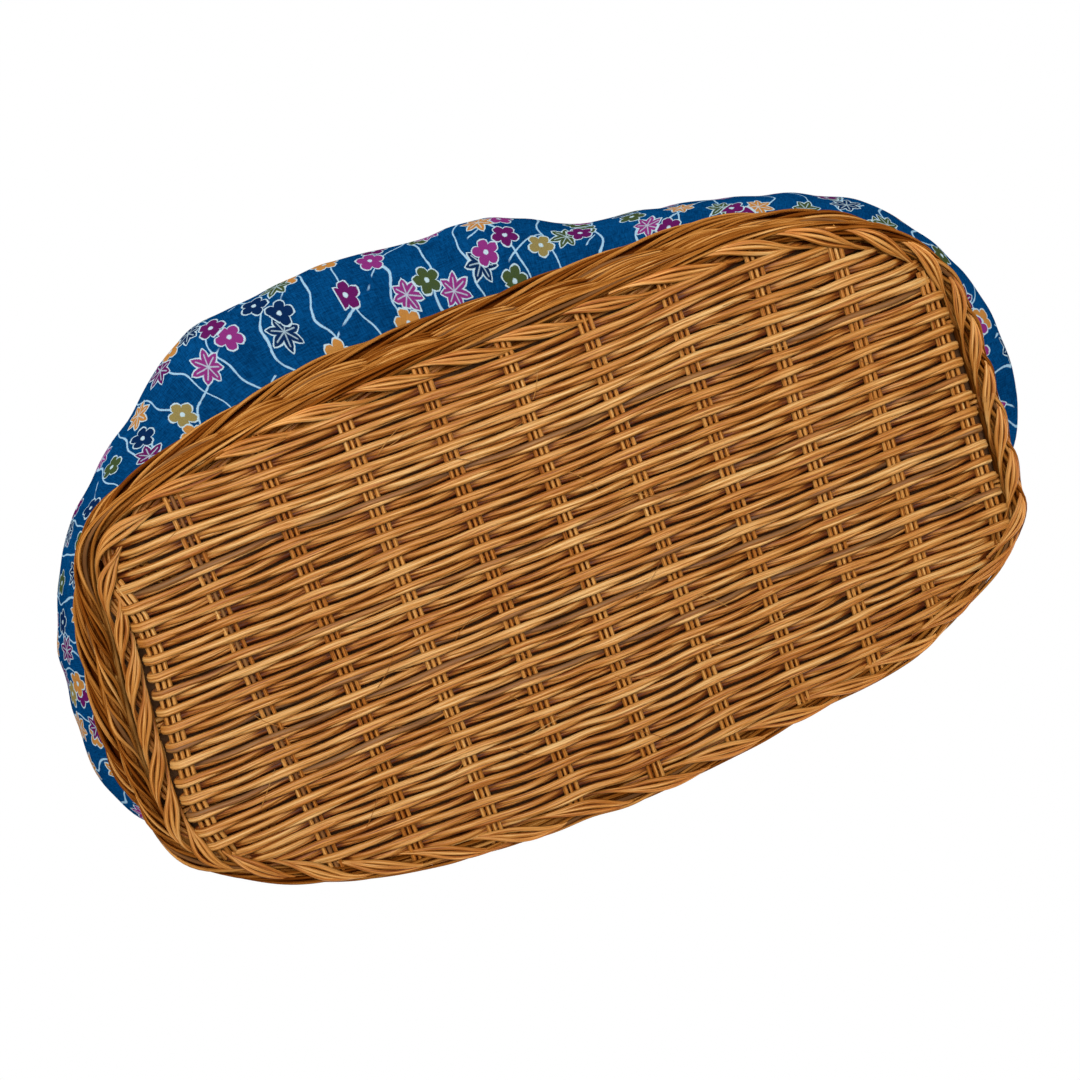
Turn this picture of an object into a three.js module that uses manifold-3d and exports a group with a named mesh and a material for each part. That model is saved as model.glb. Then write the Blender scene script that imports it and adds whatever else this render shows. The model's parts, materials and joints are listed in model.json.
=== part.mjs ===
// Oval wicker basket bag with a cloth top that is gathered on two bamboo handles.
// Millimetres, +Z up. The origin is the middle of the base, on the surface that the bag stands on.
// X runs along the bag, and -Y is its front.
import * as THREE from 'three';
import { mergeVertices } from 'three/addons/utils/BufferGeometryUtils.js';
import { ParametricGeometry } from 'three/addons/geometries/ParametricGeometry.js';
import Module from 'manifold-3d';

// Fits and fineness
const CLEARANCE = 0.3;
const WELD_DISTANCE = 1e-4;
const SEARCH_STEPS = 50;

// Plan outline |x/a|^n + |y/b|^m = 1: near straight ends and bulging long sides, rounder at the rim
const BASE_POWER_X = 2.9;
const BASE_POWER_Y = 4.6;
const RIM_POWER_X = 2.6;
const RIM_POWER_Y = 3.7;
const PLAN_SEGMENTS = 64;

// Base, measured inside the foot wale
const BASE_LENGTH = 280;
const BASE_WIDTH = 143;
const BASE_LIFT = 1.5;
const BASE_SKIN = 0.6;

// Stakes: flat bundles of thin rods
const CROSS_STAKES = 11;
const STAKE_WIDTH = 5.3;
const STAKE_THICKNESS = 1.8;
const STAKE_BEND = 5;
const BEND_SEGMENTS = 4;
const END_BAR_INSET = 7;
const STAKE_IN_RIM = 4;
const END_STAKE_PITCH = 28;
const END_STAKE_TAIL = 24;
const CORNER_STAKE_TURN = 29 * Math.PI / 180;

// Foot wale, wall and rim
const FOOT_WIDTH = 9.5;
const FOOT_OVER_BASE = 1.3;
const FOOT_CHAMFER = 2.2;
const WALL_STEP = 1.25;
const WALL_THICKNESS = 5.5;
const RIM_FLARE_END = 27;
const RIM_FLARE_SIDE = 11;
const RIM_TOP = 74;
const RIM_DIAMETER = 10;
const RIM_SIDES = 8;

// Weave in bands, each standing for several rows of strands
const WALL_BANDS = 4;
const WALL_RELIEF = 2.2;
const BASE_BANDS = 12;
const BASE_WINDOW = 7;

// Cloth
const LINING_THICKNESS = 1;
const LINING_TURN_IN = 6;
const TAPE_THICKNESS = 1.2;
const TAPE_HEIGHT = 11;
const POUCH_THICKNESS = 1.6;
const POUCH_BULGE_END = 11;
const POUCH_BULGE_SIDE = 19;
const POUCH_BULGE_RISE = 26;
const POUCH_POWER = 2.2;
const NECK_MARGIN = 15;
const NECK_POWER_X = 6;
const NECK_POWER_Y = 2.6;
const NECK_RISE = 68;
const LOWER_RINGS = 4;
const UPPER_RINGS = 6;

// Handles: arches that turn on bars held in tunnels along the mouth
const MOUTH_WIDTH = 84;
const TUNNEL_SKIRT = 9;
const TUNNEL_CLOTH = 1.8;
const BAR_DIAMETER = 7;
const HANDLE_SPAN = 176;
const HANDLE_HEIGHT = 112;
const HANDLE_ROD = 9;
const HANDLE_POWER = 2.4;
const HANDLE_STEPS = 26;
const HANDLE_MEETING_GAP = 0.8;
const EYE_WALL = 2.4;
const EYE_LIP = 0.5;
const EYE_SIDE_GAP = 0.5;
const KNOB_WALL = 2.2;
const KNOB_LENGTH = 9;
const KNOB_CAP = 3.5;
const ROUND_SIDES = 10;

// Heights and half sizes that follow from the driving sizes
const baseThickness = 2 * BASE_SKIN + 2 * STAKE_THICKNESS + 3 * CLEARANCE;
const baseTop = BASE_LIFT + baseThickness;
const crossLevel = BASE_LIFT + BASE_SKIN + CLEARANCE + STAKE_THICKNESS / 2;
const endLevel = crossLevel + STAKE_THICKNESS + CLEARANCE;
const footHeight = baseTop + FOOT_OVER_BASE;
const rimRadius = RIM_DIAMETER / 2;
const rimReachX = BASE_LENGTH / 2 + RIM_FLARE_END;
const rimReachY = BASE_WIDTH / 2 + RIM_FLARE_SIDE;
const rimMiddle = RIM_TOP - rimRadius;
const rimBottom = RIM_TOP - RIM_DIAMETER;
const wallHalf = WALL_THICKNESS / 2;
const wallSeat = FOOT_WIDTH - WALL_STEP - wallHalf;
const wallBottom = footHeight + CLEARANCE;
const wallTop = rimBottom - CLEARANCE;
const stakeTop = rimBottom + STAKE_IN_RIM;
const tapeOffset = -(rimRadius + CLEARANCE);
const tapeBottom = RIM_TOP - TAPE_HEIGHT;
const pouchSeat = RIM_TOP + CLEARANCE;
const bulgeHeight = RIM_TOP + POUCH_BULGE_RISE;
const neckHeight = RIM_TOP + NECK_RISE;
const stakePitch = (BASE_LENGTH - 2 * END_BAR_INSET) / (CROSS_STAKES - 1);
const tunnelInner = BAR_DIAMETER / 2 + CLEARANCE;
const tunnelOuter = tunnelInner + TUNNEL_CLOTH;
const tunnelBottom = neckHeight + CLEARANCE;
const barHeight = tunnelBottom + TUNNEL_SKIRT + tunnelOuter;
const barSpread = MOUTH_WIDTH / 2;
const eyeRadius = tunnelInner + EYE_WALL;
const eyeWidth = HANDLE_ROD + 2 * EYE_LIP;
const tunnelLength = HANDLE_SPAN - eyeWidth - 2 * EYE_SIDE_GAP;
const knobRadius = tunnelInner + KNOB_WALL;
const knobStart = HANDLE_SPAN / 2 + eyeWidth / 2 + EYE_SIDE_GAP;
const knobSocket = KNOB_LENGTH - KNOB_CAP;
const barLength = 2 * (knobStart + knobSocket - CLEARANCE);
const handleLean = Math.asin((barSpread - HANDLE_ROD / 2 - HANDLE_MEETING_GAP / 2) / HANDLE_HEIGHT);

const wicker = { color: 0x9c6633, roughness: 0.55, metalness: 0 };
const darkWicker = { color: 0x7f4f24, roughness: 0.55, metalness: 0 };
const bamboo = { color: 0xb5813f, roughness: 0.4, metalness: 0 };
const crepe = { color: 0x104c7b, roughness: 0.9, metalness: 0 };
const cotton = { color: 0xb7a89c, roughness: 0.9, metalness: 0 };

const wasm = await Module();
wasm.setup();

const bag = new THREE.Group();

function addPiece(name, geometry, finish, parent = bag) {
  const mesh = new THREE.Mesh(geometry, new THREE.MeshStandardMaterial(finish));
  mesh.name = name;
  parent.add(mesh);
  return mesh;
}

// Shared vertices merged and collapsed triangles dropped, so that the surface is one closed skin
function closed(geometry) {
  const bare = geometry.clone();
  bare.deleteAttribute('normal');
  bare.deleteAttribute('uv');
  const merged = mergeVertices(bare, WELD_DISTANCE);
  const old = merged.index.array;
  const kept = [];
  for (let i = 0; i < old.length; i += 3) {
    const [p, q, r] = [old[i], old[i + 1], old[i + 2]];
    if (p !== q && q !== r && r !== p) kept.push(p, q, r);
  }
  merged.setIndex(kept);
  return merged;
}

function toSolid(geometry) {
  const skin = closed(geometry);
  return new wasm.Manifold(new wasm.Mesh({
    numProp: 3,
    vertProperties: new Float32Array(skin.attributes.position.array),
    triVerts: new Uint32Array(skin.index.array),
  }));
}

function toGeometry(solid) {
  const mesh = solid.getMesh();
  const geometry = new THREE.BufferGeometry();
  geometry.setAttribute('position', new THREE.BufferAttribute(mesh.vertProperties, 3));
  geometry.setIndex(new THREE.BufferAttribute(mesh.triVerts, 1));
  return geometry;
}

function cut(geometry, cutters) {
  let solid = toSolid(geometry);
  for (const cutter of cutters) solid = solid.subtract(toSolid(cutter));
  return toGeometry(solid);
}

function join(geometries) {
  return toGeometry(geometries.map(toSolid).reduce((whole, next) => whole.add(next)));
}

// One level of a lofted form: half length a, half width b and the outline's two powers
function level(a, b, z, n, m) {
  return { a, b, z, n, m };
}

function planPoint({ a, b, n, m }, turn) {
  const c = Math.cos(turn);
  const s = Math.sin(turn);
  const x = a * Math.sign(c) * Math.abs(c) ** (2 / n);
  const y = b * Math.sign(s) * Math.abs(s) ** (2 / m);
  return new THREE.Vector2(x, y);
}

function baseLevel(offset, z) {
  return level(BASE_LENGTH / 2 + offset, BASE_WIDTH / 2 + offset, z, BASE_POWER_X, BASE_POWER_Y);
}

// The wall's middle surface, straight from its seat on the foot wale to the middle of the rim
function wallLevel(offset, z) {
  const rise = (z - wallBottom) / (rimMiddle - wallBottom);
  const a = THREE.MathUtils.lerp(BASE_LENGTH / 2 + wallSeat, rimReachX - rimRadius, rise);
  const b = THREE.MathUtils.lerp(BASE_WIDTH / 2 + wallSeat, rimReachY - rimRadius, rise);
  const n = THREE.MathUtils.lerp(BASE_POWER_X, RIM_POWER_X, rise);
  const m = THREE.MathUtils.lerp(BASE_POWER_Y, RIM_POWER_Y, rise);
  return level(a + offset, b + offset, z, n, m);
}

function rimLevel(offset, z) {
  const { a, b, n, m } = wallLevel(0, rimMiddle);
  return level(a + offset, b + offset, z, n, m);
}

// How far a straight line from inside runs, in plan, before it meets a level's outline
function reach(from, direction, { a, b, n, m }) {
  let near = 0;
  let far = 2 * (rimReachX + rimReachY);
  for (let i = 0; i < SEARCH_STEPS; i += 1) {
    const middle = (near + far) / 2;
    const point = from.clone().addScaledVector(direction, middle);
    const inside = Math.abs(point.x / a) ** n + Math.abs(point.y / b) ** m < 1;
    if (inside) near = middle;
    else far = middle;
  }
  return near;
}

// Outward direction, in plan, at a point of a level's outline
function outwardAt({ a, b, n, m }, point) {
  const x = (n / a) * Math.sign(point.x) * Math.abs(point.x / a) ** (n - 1);
  const y = (m / b) * Math.sign(point.y) * Math.abs(point.y / b) ** (m - 1);
  return new THREE.Vector2(x, y).normalize();
}

// The turn at which a level's outline passes through a point
function turnAt({ a, b, n, m }, point) {
  const c = Math.sign(point.x) * Math.abs(point.x / a) ** (n / 2);
  const s = Math.sign(point.y) * Math.abs(point.y / b) ** (m / 2);
  const turn = Math.atan2(s, c);
  return turn < 0 ? turn + 2 * Math.PI : turn;
}

// A skin through the levels, one after the other, all round the plan outline
function loft(levels, rows) {
  const surface = (u, v, target) => {
    const turn = ((Math.round(u * PLAN_SEGMENTS) % PLAN_SEGMENTS) / PLAN_SEGMENTS) * 2 * Math.PI;
    const here = levels[Math.round(v * rows) % levels.length];
    const plan = planPoint(here, turn);
    target.set(plan.x, plan.y, here.z);
  };
  return closed(new ParametricGeometry(surface, PLAN_SEGMENTS, rows));
}

// A ring whose section is the closed loop of levels, outer side upwards first
function ring(levels) {
  return loft(levels, levels.length);
}

// A cup whose profile runs from the middle of its underside over its edge to the middle of its floor
function cup(levels) {
  return loft(levels, levels.length - 1);
}

// A flat strip of even thickness along a line drawn in the (outwards, up) plane
function stripShape(corners, thickness, stretch) {
  const line = new THREE.Path();
  const ends = [0, corners.length - 1];
  const points = corners.map((corner, i) => {
    if (!ends.includes(i)) return corner.clone();
    const next = corners[i === 0 ? 1 : i - 1];
    return corner.clone().add(corner.clone().sub(next).setLength(stretch));
  });
  line.moveTo(points[0].x, points[0].y);
  for (let i = 1; i < points.length - 1; i += 1) {
    const before = points[i].clone().add(points[i - 1].clone().sub(points[i]).setLength(STAKE_BEND));
    const after = points[i].clone().add(points[i + 1].clone().sub(points[i]).setLength(STAKE_BEND));
    line.lineTo(before.x, before.y);
    line.quadraticCurveTo(points[i].x, points[i].y, after.x, after.y);
  }
  line.lineTo(points.at(-1).x, points.at(-1).y);
  const middle = line.getPoints(BEND_SEGMENTS);
  const left = [];
  const right = [];
  middle.forEach((point, i) => {
    const back = middle[Math.max(i - 1, 0)];
    const ahead = middle[Math.min(i + 1, middle.length - 1)];
    const along = ahead.clone().sub(back).normalize();
    const side = new THREE.Vector2(-along.y, along.x).multiplyScalar(thickness / 2);
    left.push(point.clone().add(side));
    right.push(point.clone().sub(side));
  });
  return new THREE.Shape([...right, ...left.reverse()]);
}

// A stake in the upright plane through a point of the base; grow widens it into its own channel
function stakeGeometry(stake, grow = 0, stretch = grow) {
  const shape = stripShape(stake.corners, STAKE_THICKNESS + 2 * grow, stretch);
  const width = STAKE_WIDTH + 2 * grow;
  const geometry = new THREE.ExtrudeGeometry(shape, { depth: width, bevelEnabled: false });
  return geometry.translate(0, 0, -width / 2);
}

function placeUpright(target, from, direction) {
  target.rotation.set(Math.PI / 2, 0, direction.angle(), 'ZYX');
  target.position.set(from.x, from.y, 0);
  target.updateMatrix();
  return target;
}

function channel(stake, stretch = CLEARANCE) {
  const placed = placeUpright(new THREE.Object3D(), stake.from, stake.direction);
  return stakeGeometry(stake, CLEARANCE, stretch).applyMatrix4(placed.matrix);
}

// Corners of a stake that lies at a level, bends at the wall and rises into the rim
function risingCorners(from, direction, height) {
  const bend = reach(from, direction, wallLevel(0, height));
  const top = reach(from, direction, wallLevel(0, stakeTop));
  return [new THREE.Vector2(bend, height), new THREE.Vector2(top, stakeTop)];
}

function crossStakes() {
  const stakes = [];
  const middle = (CROSS_STAKES - 1) / 2;
  for (let i = 0; i < CROSS_STAKES; i += 1) {
    const from = new THREE.Vector2((i - middle) * stakePitch, 0);
    const direction = new THREE.Vector2(0, 1);
    const isBar = i === 0 || i === CROSS_STAKES - 1;
    const half = reach(from, direction, baseLevel(0, 0)) - STAKE_WIDTH;
    const end = new THREE.Vector2(half, crossLevel);
    const corners = isBar ? [end] : risingCorners(from, direction, crossLevel);
    const mirrored = corners.map((corner) => new THREE.Vector2(-corner.x, corner.y)).reverse();
    const name = `cross_stake_${String(i + 1).padStart(2, '0')}`;
    stakes.push({ name, from, direction, isBar, corners: [...mirrored, ...corners] });
  }
  return stakes;
}

// Three stakes along the bag and two across the corners carry each end of the wall
function endStakes(side, word) {
  const seat = wallLevel(0, wallBottom);
  const lines = [-1, 0, 1].map((step) => {
    const direction = new THREE.Vector2(side, 0);
    const middle = new THREE.Vector2(0, step * END_STAKE_PITCH);
    return { direction, edge: middle.addScaledVector(direction, reach(middle, direction, seat)) };
  });
  for (const flip of [-1, 1]) {
    const edge = planPoint(seat, CORNER_STAKE_TURN).multiply(new THREE.Vector2(side, flip));
    lines.push({ direction: outwardAt(seat, edge), edge });
  }
  return lines.map(({ direction, edge }, i) => {
    const from = edge.clone().addScaledVector(direction, -END_STAKE_TAIL);
    const corners = [new THREE.Vector2(0, endLevel), ...risingCorners(from, direction, endLevel)];
    return { name: `${word}_end_stake_${i + 1}`, from, direction, isBar: false, corners };
  });
}

const cross = crossStakes();
const ends = [...endStakes(-1, 'left'), ...endStakes(1, 'right')];
const rising = [...cross.filter((stake) => !stake.isBar), ...ends];
const risingChannels = rising.map((stake) => channel(stake));

// The two straight end bars slide into channels that run out through the edge of the mat
const channelRunOut = 4 * STAKE_WIDTH;
const bars = cross.filter((stake) => stake.isBar);
const barChannels = bars.map((stake) => channel(stake, channelRunOut));

for (const stake of [...cross, ...ends]) {
  const mesh = addPiece(stake.name, stakeGeometry(stake), darkWicker);
  placeUpright(mesh, stake.from, stake.direction);
}

// Base weave, a mat with a channel for each stake
const basePlan = [];
for (let i = 0; i < PLAN_SEGMENTS; i += 1) {
  basePlan.push(planPoint(baseLevel(0, 0), (i / PLAN_SEGMENTS) * 2 * Math.PI));
}
const matSettings = { depth: baseThickness, bevelEnabled: false };
const mat = new THREE.ExtrudeGeometry(new THREE.Shape(basePlan), matSettings);
mat.translate(0, 0, BASE_LIFT);

// Windows in its underside where a band passes behind a stake and the stake shows
function stakeWindows() {
  const windows = [];
  const bandWidth = BASE_WIDTH / BASE_BANDS;
  const depth = BASE_LIFT + BASE_SKIN + CLEARANCE;
  cross.forEach(({ from, direction, isBar }, i) => {
    const free = reach(from, direction, baseLevel(0, 0)) - (isBar ? 2 : 1) * STAKE_WIDTH;
    for (let band = i % 2; band < BASE_BANDS; band += 2) {
      const y = (band + 0.5) * bandWidth - BASE_WIDTH / 2;
      if (Math.abs(y) + BASE_WINDOW / 2 < free) {
        const box = new THREE.BoxGeometry(STAKE_WIDTH + CLEARANCE, BASE_WINDOW, depth);
        windows.push(box.translate(from.x, y, BASE_LIFT / 2 + depth / 2));
      }
    }
  });
  return windows;
}
addPiece('base_weave', cut(mat, [...risingChannels, ...barChannels, ...stakeWindows()]), wicker);

// Foot wale, the border round the base that the bag stands on
const footSection = [
  [FOOT_WIDTH - FOOT_CHAMFER, 0],
  [FOOT_WIDTH, FOOT_CHAMFER],
  [FOOT_WIDTH, footHeight - FOOT_CHAMFER],
  [FOOT_WIDTH - FOOT_CHAMFER / 2, footHeight],
  [CLEARANCE + FOOT_CHAMFER, footHeight],
  [CLEARANCE, footHeight - FOOT_CHAMFER],
  [CLEARANCE, FOOT_CHAMFER],
  [CLEARANCE + FOOT_CHAMFER, 0],
];
const foot = ring(footSection.map(([offset, z]) => baseLevel(offset, z)));
addPiece('foot_wale', cut(foot, risingChannels), wicker);

// Turns of the stakes on a level's outline, in order round it, each followed by the turn halfway on
function weaveTurns(here) {
  const turns = [];
  for (const { from, direction } of rising) {
    const ways = ends.some((stake) => stake.from === from) ? [1] : [1, -1];
    for (const way of ways) {
      const heading = direction.clone().multiplyScalar(way);
      turns.push(turnAt(here, from.clone().addScaledVector(heading, reach(from, heading, here))));
    }
  }
  turns.sort((p, q) => p - q);
  return turns.flatMap((turn, i) => {
    const next = i + 1 < turns.length ? turns[i + 1] : turns[0] + 2 * Math.PI;
    return [turn, (turn + next) / 2];
  });
}

// Wall weave: bands that pass by turns before and behind the stakes, as a block before it is hollowed
function bandedBlock() {
  const edges = 2 * WALL_BANDS;
  const grid = [];
  for (let edge = 0; edge <= edges; edge += 1) {
    const z = THREE.MathUtils.lerp(wallBottom, wallTop, edge / edges);
    const inBand = edge % 2 === 1;
    grid.push(weaveTurns(wallLevel(0, z)).map((turn, column) => {
      const behind = (column / 2 + (edge - 1) / 2) % 2;
      const sink = inBand && column % 2 === 0 ? behind : 0.5;
      const plan = planPoint(wallLevel(wallHalf - WALL_RELIEF * sink, z), turn);
      return new THREE.Vector3(plan.x, plan.y, z);
    }));
  }
  const columns = grid[0].length;
  grid.unshift(new Array(columns).fill(new THREE.Vector3(0, 0, wallBottom)));
  grid.push(new Array(columns).fill(new THREE.Vector3(0, 0, wallTop)));
  const rows = grid.length - 1;
  const surface = (u, v, target) => {
    target.copy(grid[Math.round(v * rows)][Math.round(u * columns) % columns]);
  };
  return closed(new ParametricGeometry(surface, columns, rows));
}

const hollowBottom = wallBottom - WALL_THICKNESS;
const hollowTop = wallTop + WALL_THICKNESS;
const wallHollow = cup([
  level(0, 0, hollowBottom, BASE_POWER_X, BASE_POWER_Y),
  wallLevel(-wallHalf, hollowBottom),
  wallLevel(-wallHalf, hollowTop),
  level(0, 0, hollowTop, RIM_POWER_X, RIM_POWER_Y),
]);
addPiece('wall_weave', cut(bandedBlock(), [wallHollow, ...risingChannels]), wicker);

// Rim border
const rimSection = [];
for (let i = 0; i < RIM_SIDES; i += 1) {
  const turn = ((i + 0.5) / RIM_SIDES) * 2 * Math.PI;
  rimSection.push(rimLevel(rimRadius * Math.cos(turn), rimMiddle + rimRadius * Math.sin(turn)));
}
addPiece('rim_border', cut(ring(rimSection), risingChannels), wicker);

// Lining inside the basket, and the tape inside the rim that the pouch is sewn to
const liningOffset = -(wallHalf + CLEARANCE);
const liningFloor = baseTop + CLEARANCE;
const liningTop = tapeBottom - CLEARANCE;
const turnIn = liningTop - LINING_TURN_IN;
addPiece('basket_lining', cup([
  level(0, 0, liningFloor, BASE_POWER_X, BASE_POWER_Y),
  baseLevel(-CLEARANCE, liningFloor),
  wallLevel(liningOffset, wallBottom + CLEARANCE),
  wallLevel(liningOffset, turnIn),
  rimLevel(tapeOffset, liningTop),
  rimLevel(tapeOffset - LINING_THICKNESS, liningTop),
  wallLevel(liningOffset - LINING_THICKNESS, turnIn),
  wallLevel(liningOffset - LINING_THICKNESS, wallBottom + LINING_THICKNESS),
  baseLevel(-CLEARANCE - LINING_THICKNESS, liningFloor + LINING_THICKNESS),
  level(0, 0, liningFloor + LINING_THICKNESS, BASE_POWER_X, BASE_POWER_Y),
]), cotton);
addPiece('rim_tape', ring([
  rimLevel(tapeOffset, tapeBottom),
  rimLevel(tapeOffset, RIM_TOP),
  rimLevel(tapeOffset - TAPE_THICKNESS, RIM_TOP),
  rimLevel(tapeOffset - TAPE_THICKNESS, tapeBottom),
]), cotton);

// Pouch cloth: out over the rim to its bulge, then in to the neck below the tunnels
function between(low, high, t, z) {
  const mix = (key) => THREE.MathUtils.lerp(low[key], high[key], t);
  return level(mix('a'), mix('b'), z, mix('n'), mix('m'));
}

function pouchProfile() {
  const seat = rimLevel(tapeOffset, pouchSeat);
  const bulgeLength = rimReachX + POUCH_BULGE_END;
  const bulgeWidth = rimReachY + POUCH_BULGE_SIDE;
  const bulge = level(bulgeLength, bulgeWidth, bulgeHeight, POUCH_POWER, POUCH_POWER);
  const neckLength = tunnelLength / 2 + NECK_MARGIN;
  const neckWidth = barSpread - TUNNEL_CLOTH;
  const neck = level(neckLength, neckWidth, neckHeight, NECK_POWER_X, NECK_POWER_Y);
  const profile = [];
  for (let i = 0; i < LOWER_RINGS; i += 1) {
    const turn = (i / LOWER_RINGS) * (Math.PI / 2);
    const z = THREE.MathUtils.lerp(seat.z, bulge.z, 1 - Math.cos(turn));
    profile.push(between(seat, bulge, Math.sin(turn), z));
  }
  for (let i = 0; i <= UPPER_RINGS; i += 1) {
    const turn = (i / UPPER_RINGS) * (Math.PI / 2);
    const z = THREE.MathUtils.lerp(bulge.z, neck.z, Math.sin(turn));
    profile.push(between(neck, bulge, Math.cos(turn), z));
  }
  return profile;
}

// The same profile one cloth's thickness further in, walked back down
function insideOf(profile, thickness) {
  return profile.map((here, i) => {
    const below = profile[Math.max(i - 1, 0)];
    const above = profile[Math.min(i + 1, profile.length - 1)];
    const along = new THREE.Vector2(above.b - below.b, above.z - below.z).setLength(thickness);
    return level(here.a - along.y, here.b - along.y, here.z + along.x, here.n, here.m);
  }).reverse();
}

const pouch = pouchProfile();
addPiece('pouch_cloth', ring([...pouch, ...insideOf(pouch, POUCH_THICKNESS)]), crepe);

// Handles
class Arch extends THREE.Curve {
  getPoint(t, target = new THREE.Vector3()) {
    const c = Math.cos(t * Math.PI);
    const s = Math.max(Math.sin(t * Math.PI), 0);
    const x = -(HANDLE_SPAN / 2) * Math.sign(c) * Math.abs(c) ** (2 / HANDLE_POWER);
    return target.set(x, 0, HANDLE_HEIGHT * s ** (2 / HANDLE_POWER));
  }
}

function circle(radius) {
  const points = [];
  for (let i = 0; i < ROUND_SIDES; i += 1) {
    const turn = (i / ROUND_SIDES) * 2 * Math.PI;
    points.push(new THREE.Vector2(radius * Math.cos(turn), radius * Math.sin(turn)));
  }
  return points;
}

function alongX(radius, length, x = 0) {
  const rod = new THREE.CylinderGeometry(radius, radius, length, ROUND_SIDES);
  return rod.rotateZ(Math.PI / 2).translate(x, 0, 0);
}

function archGeometry() {
  const settings = { steps: HANDLE_STEPS, extrudePath: new Arch(), bevelEnabled: false };
  const rod = new THREE.ExtrudeGeometry(new THREE.Shape(circle(HANDLE_ROD / 2)), settings);
  const feet = [-HANDLE_SPAN / 2, HANDLE_SPAN / 2];
  const eyes = feet.map((x) => alongX(eyeRadius, eyeWidth, x));
  const bores = feet.map((x) => alongX(tunnelInner, 2 * eyeWidth, x));
  return cut(join([rod, ...eyes]), bores);
}

// A sleeve of cloth round the bar, with a skirt down to the pouch
function tunnelGeometry() {
  const opening = Math.asin(TUNNEL_CLOTH / tunnelOuter);
  const down = -Math.PI / 2;
  const outline = new THREE.Shape();
  outline.moveTo(-TUNNEL_CLOTH, tunnelBottom - barHeight);
  outline.lineTo(TUNNEL_CLOTH, tunnelBottom - barHeight);
  outline.absarc(0, 0, tunnelOuter, down + opening, down + 2 * Math.PI - opening);
  outline.closePath();
  outline.holes.push(new THREE.Path(circle(tunnelInner)));
  const settings = { depth: tunnelLength, bevelEnabled: false, curveSegments: ROUND_SIDES };
  return new THREE.ExtrudeGeometry(outline, settings).translate(0, 0, -tunnelLength / 2);
}

function knobGeometry(side) {
  const halfLength = KNOB_LENGTH / 2;
  const ball = new THREE.SphereGeometry(knobRadius, ROUND_SIDES, ROUND_SIDES / 2 + 1);
  ball.scale(halfLength / knobRadius, 1, 1).translate(side * (knobStart + halfLength), 0, 0);
  const socket = alongX(tunnelInner, 2 * knobSocket, side * knobStart);
  return cut(ball, [socket]);
}

for (const [front, word] of [[-1, 'front'], [1, 'back']]) {
  const mouth = new THREE.Group();
  mouth.position.set(0, front * barSpread, barHeight);
  bag.add(mouth);
  const tunnel = addPiece(`${word}_tunnel`, tunnelGeometry(), crepe, mouth);
  tunnel.rotation.set(Math.PI / 2, 0, Math.PI / 2, 'ZYX');
  addPiece(`${word}_handle_bar`, alongX(BAR_DIAMETER / 2, barLength), bamboo, mouth);
  addPiece(`${word}_left_knob`, knobGeometry(-1), bamboo, mouth);
  addPiece(`${word}_right_knob`, knobGeometry(1), bamboo, mouth);
  const arch = addPiece(`${word}_handle`, archGeometry(), bamboo, mouth);
  arch.rotation.x = front * handleLean;
}

export default bag;
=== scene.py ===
"""Wicker basket bag: a woven oval basket, a puffed crepe top and two bamboo handles at the mouth."""

import json
import math
import random

import bmesh
import bpy
import numpy as np
from mathutils import Matrix, Vector, noise


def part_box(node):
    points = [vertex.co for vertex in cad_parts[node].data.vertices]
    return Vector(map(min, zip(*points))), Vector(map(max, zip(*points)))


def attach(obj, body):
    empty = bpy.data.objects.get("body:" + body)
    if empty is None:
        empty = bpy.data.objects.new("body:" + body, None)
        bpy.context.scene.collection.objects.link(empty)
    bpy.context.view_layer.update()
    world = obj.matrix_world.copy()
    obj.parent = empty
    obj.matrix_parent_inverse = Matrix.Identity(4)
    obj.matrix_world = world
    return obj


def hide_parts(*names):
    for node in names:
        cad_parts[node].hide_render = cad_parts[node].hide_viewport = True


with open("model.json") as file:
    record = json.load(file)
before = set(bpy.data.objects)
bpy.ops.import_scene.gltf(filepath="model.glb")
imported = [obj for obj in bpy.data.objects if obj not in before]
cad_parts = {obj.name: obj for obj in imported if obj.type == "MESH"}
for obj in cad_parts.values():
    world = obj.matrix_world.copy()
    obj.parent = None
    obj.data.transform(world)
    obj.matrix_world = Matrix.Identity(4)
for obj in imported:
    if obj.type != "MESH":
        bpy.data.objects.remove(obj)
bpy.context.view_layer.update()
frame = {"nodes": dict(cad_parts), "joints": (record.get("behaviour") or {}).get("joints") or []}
scene = bpy.context.scene
MM = 0.001

# Plan outline powers, as in the part's source
BASE_POWERS = (2.9, 4.6)
RIM_POWERS = (2.6, 3.7)
POUCH_POWERS = (2.2, 2.2)
NECK_POWERS = (6.0, 2.6)
OUTLINE_STEPS = 4000
# How much slower a strand's grain changes along it than across
GRAIN_STRETCH = 0.022
SIDES = ("front", "back")

# A handmade basket: where its edge strays from the plan outline, as angle, spread and size in mm
UNEVEN = (
    (-85, 28, -2.0), (-40, 9, 2.8), (-155, 5, 3.2), (-168, 6, -3.4), (154, 6, -2.8),
    (169, 6, 3.2), (96, 26, 4.0), (60, 12, -0.8), (26, 5, -3.4), (17, 4, 0.6),
    (107, 5, -1.6), (139, 5, -1.0),
)
RIM_UNEVEN = 0.6
# Where the rim alone strays
RIM_STRAY = ((180, 17, -2.2), (-154, 13, -3.9))

# Base weave
ROW_PITCH = 2.8 * MM
STRAND_RADIUS = 1.03 * MM
WEAVE_DEPTH = 1.4 * MM
WEAVE_LEVEL = 2.65 * MM
# How late a strand dips behind the next stake: 1 is an even wave
FLOAT_POWER = 5.5
# Half the gap of a row's two strands in mm, and what it gains at a stake
PAIR_GAP = 0.32
PAIR_GAP_AT_STAKE = 0.2
# Rise of one of the two between the stakes
PAIR_LIFT = 0.4 * MM
STEPS_PER_STAKE = 10
# Rows that don't turn round an end bar rise behind the wale at their tips
TIP_LENGTH = 9 * MM
TIP_RISE = 3 * MM
STRAY_FIBRES = 46
# Radius in mm at the root and the tip
FIBRE_TAPER = (0.13, 0.05)

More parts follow.
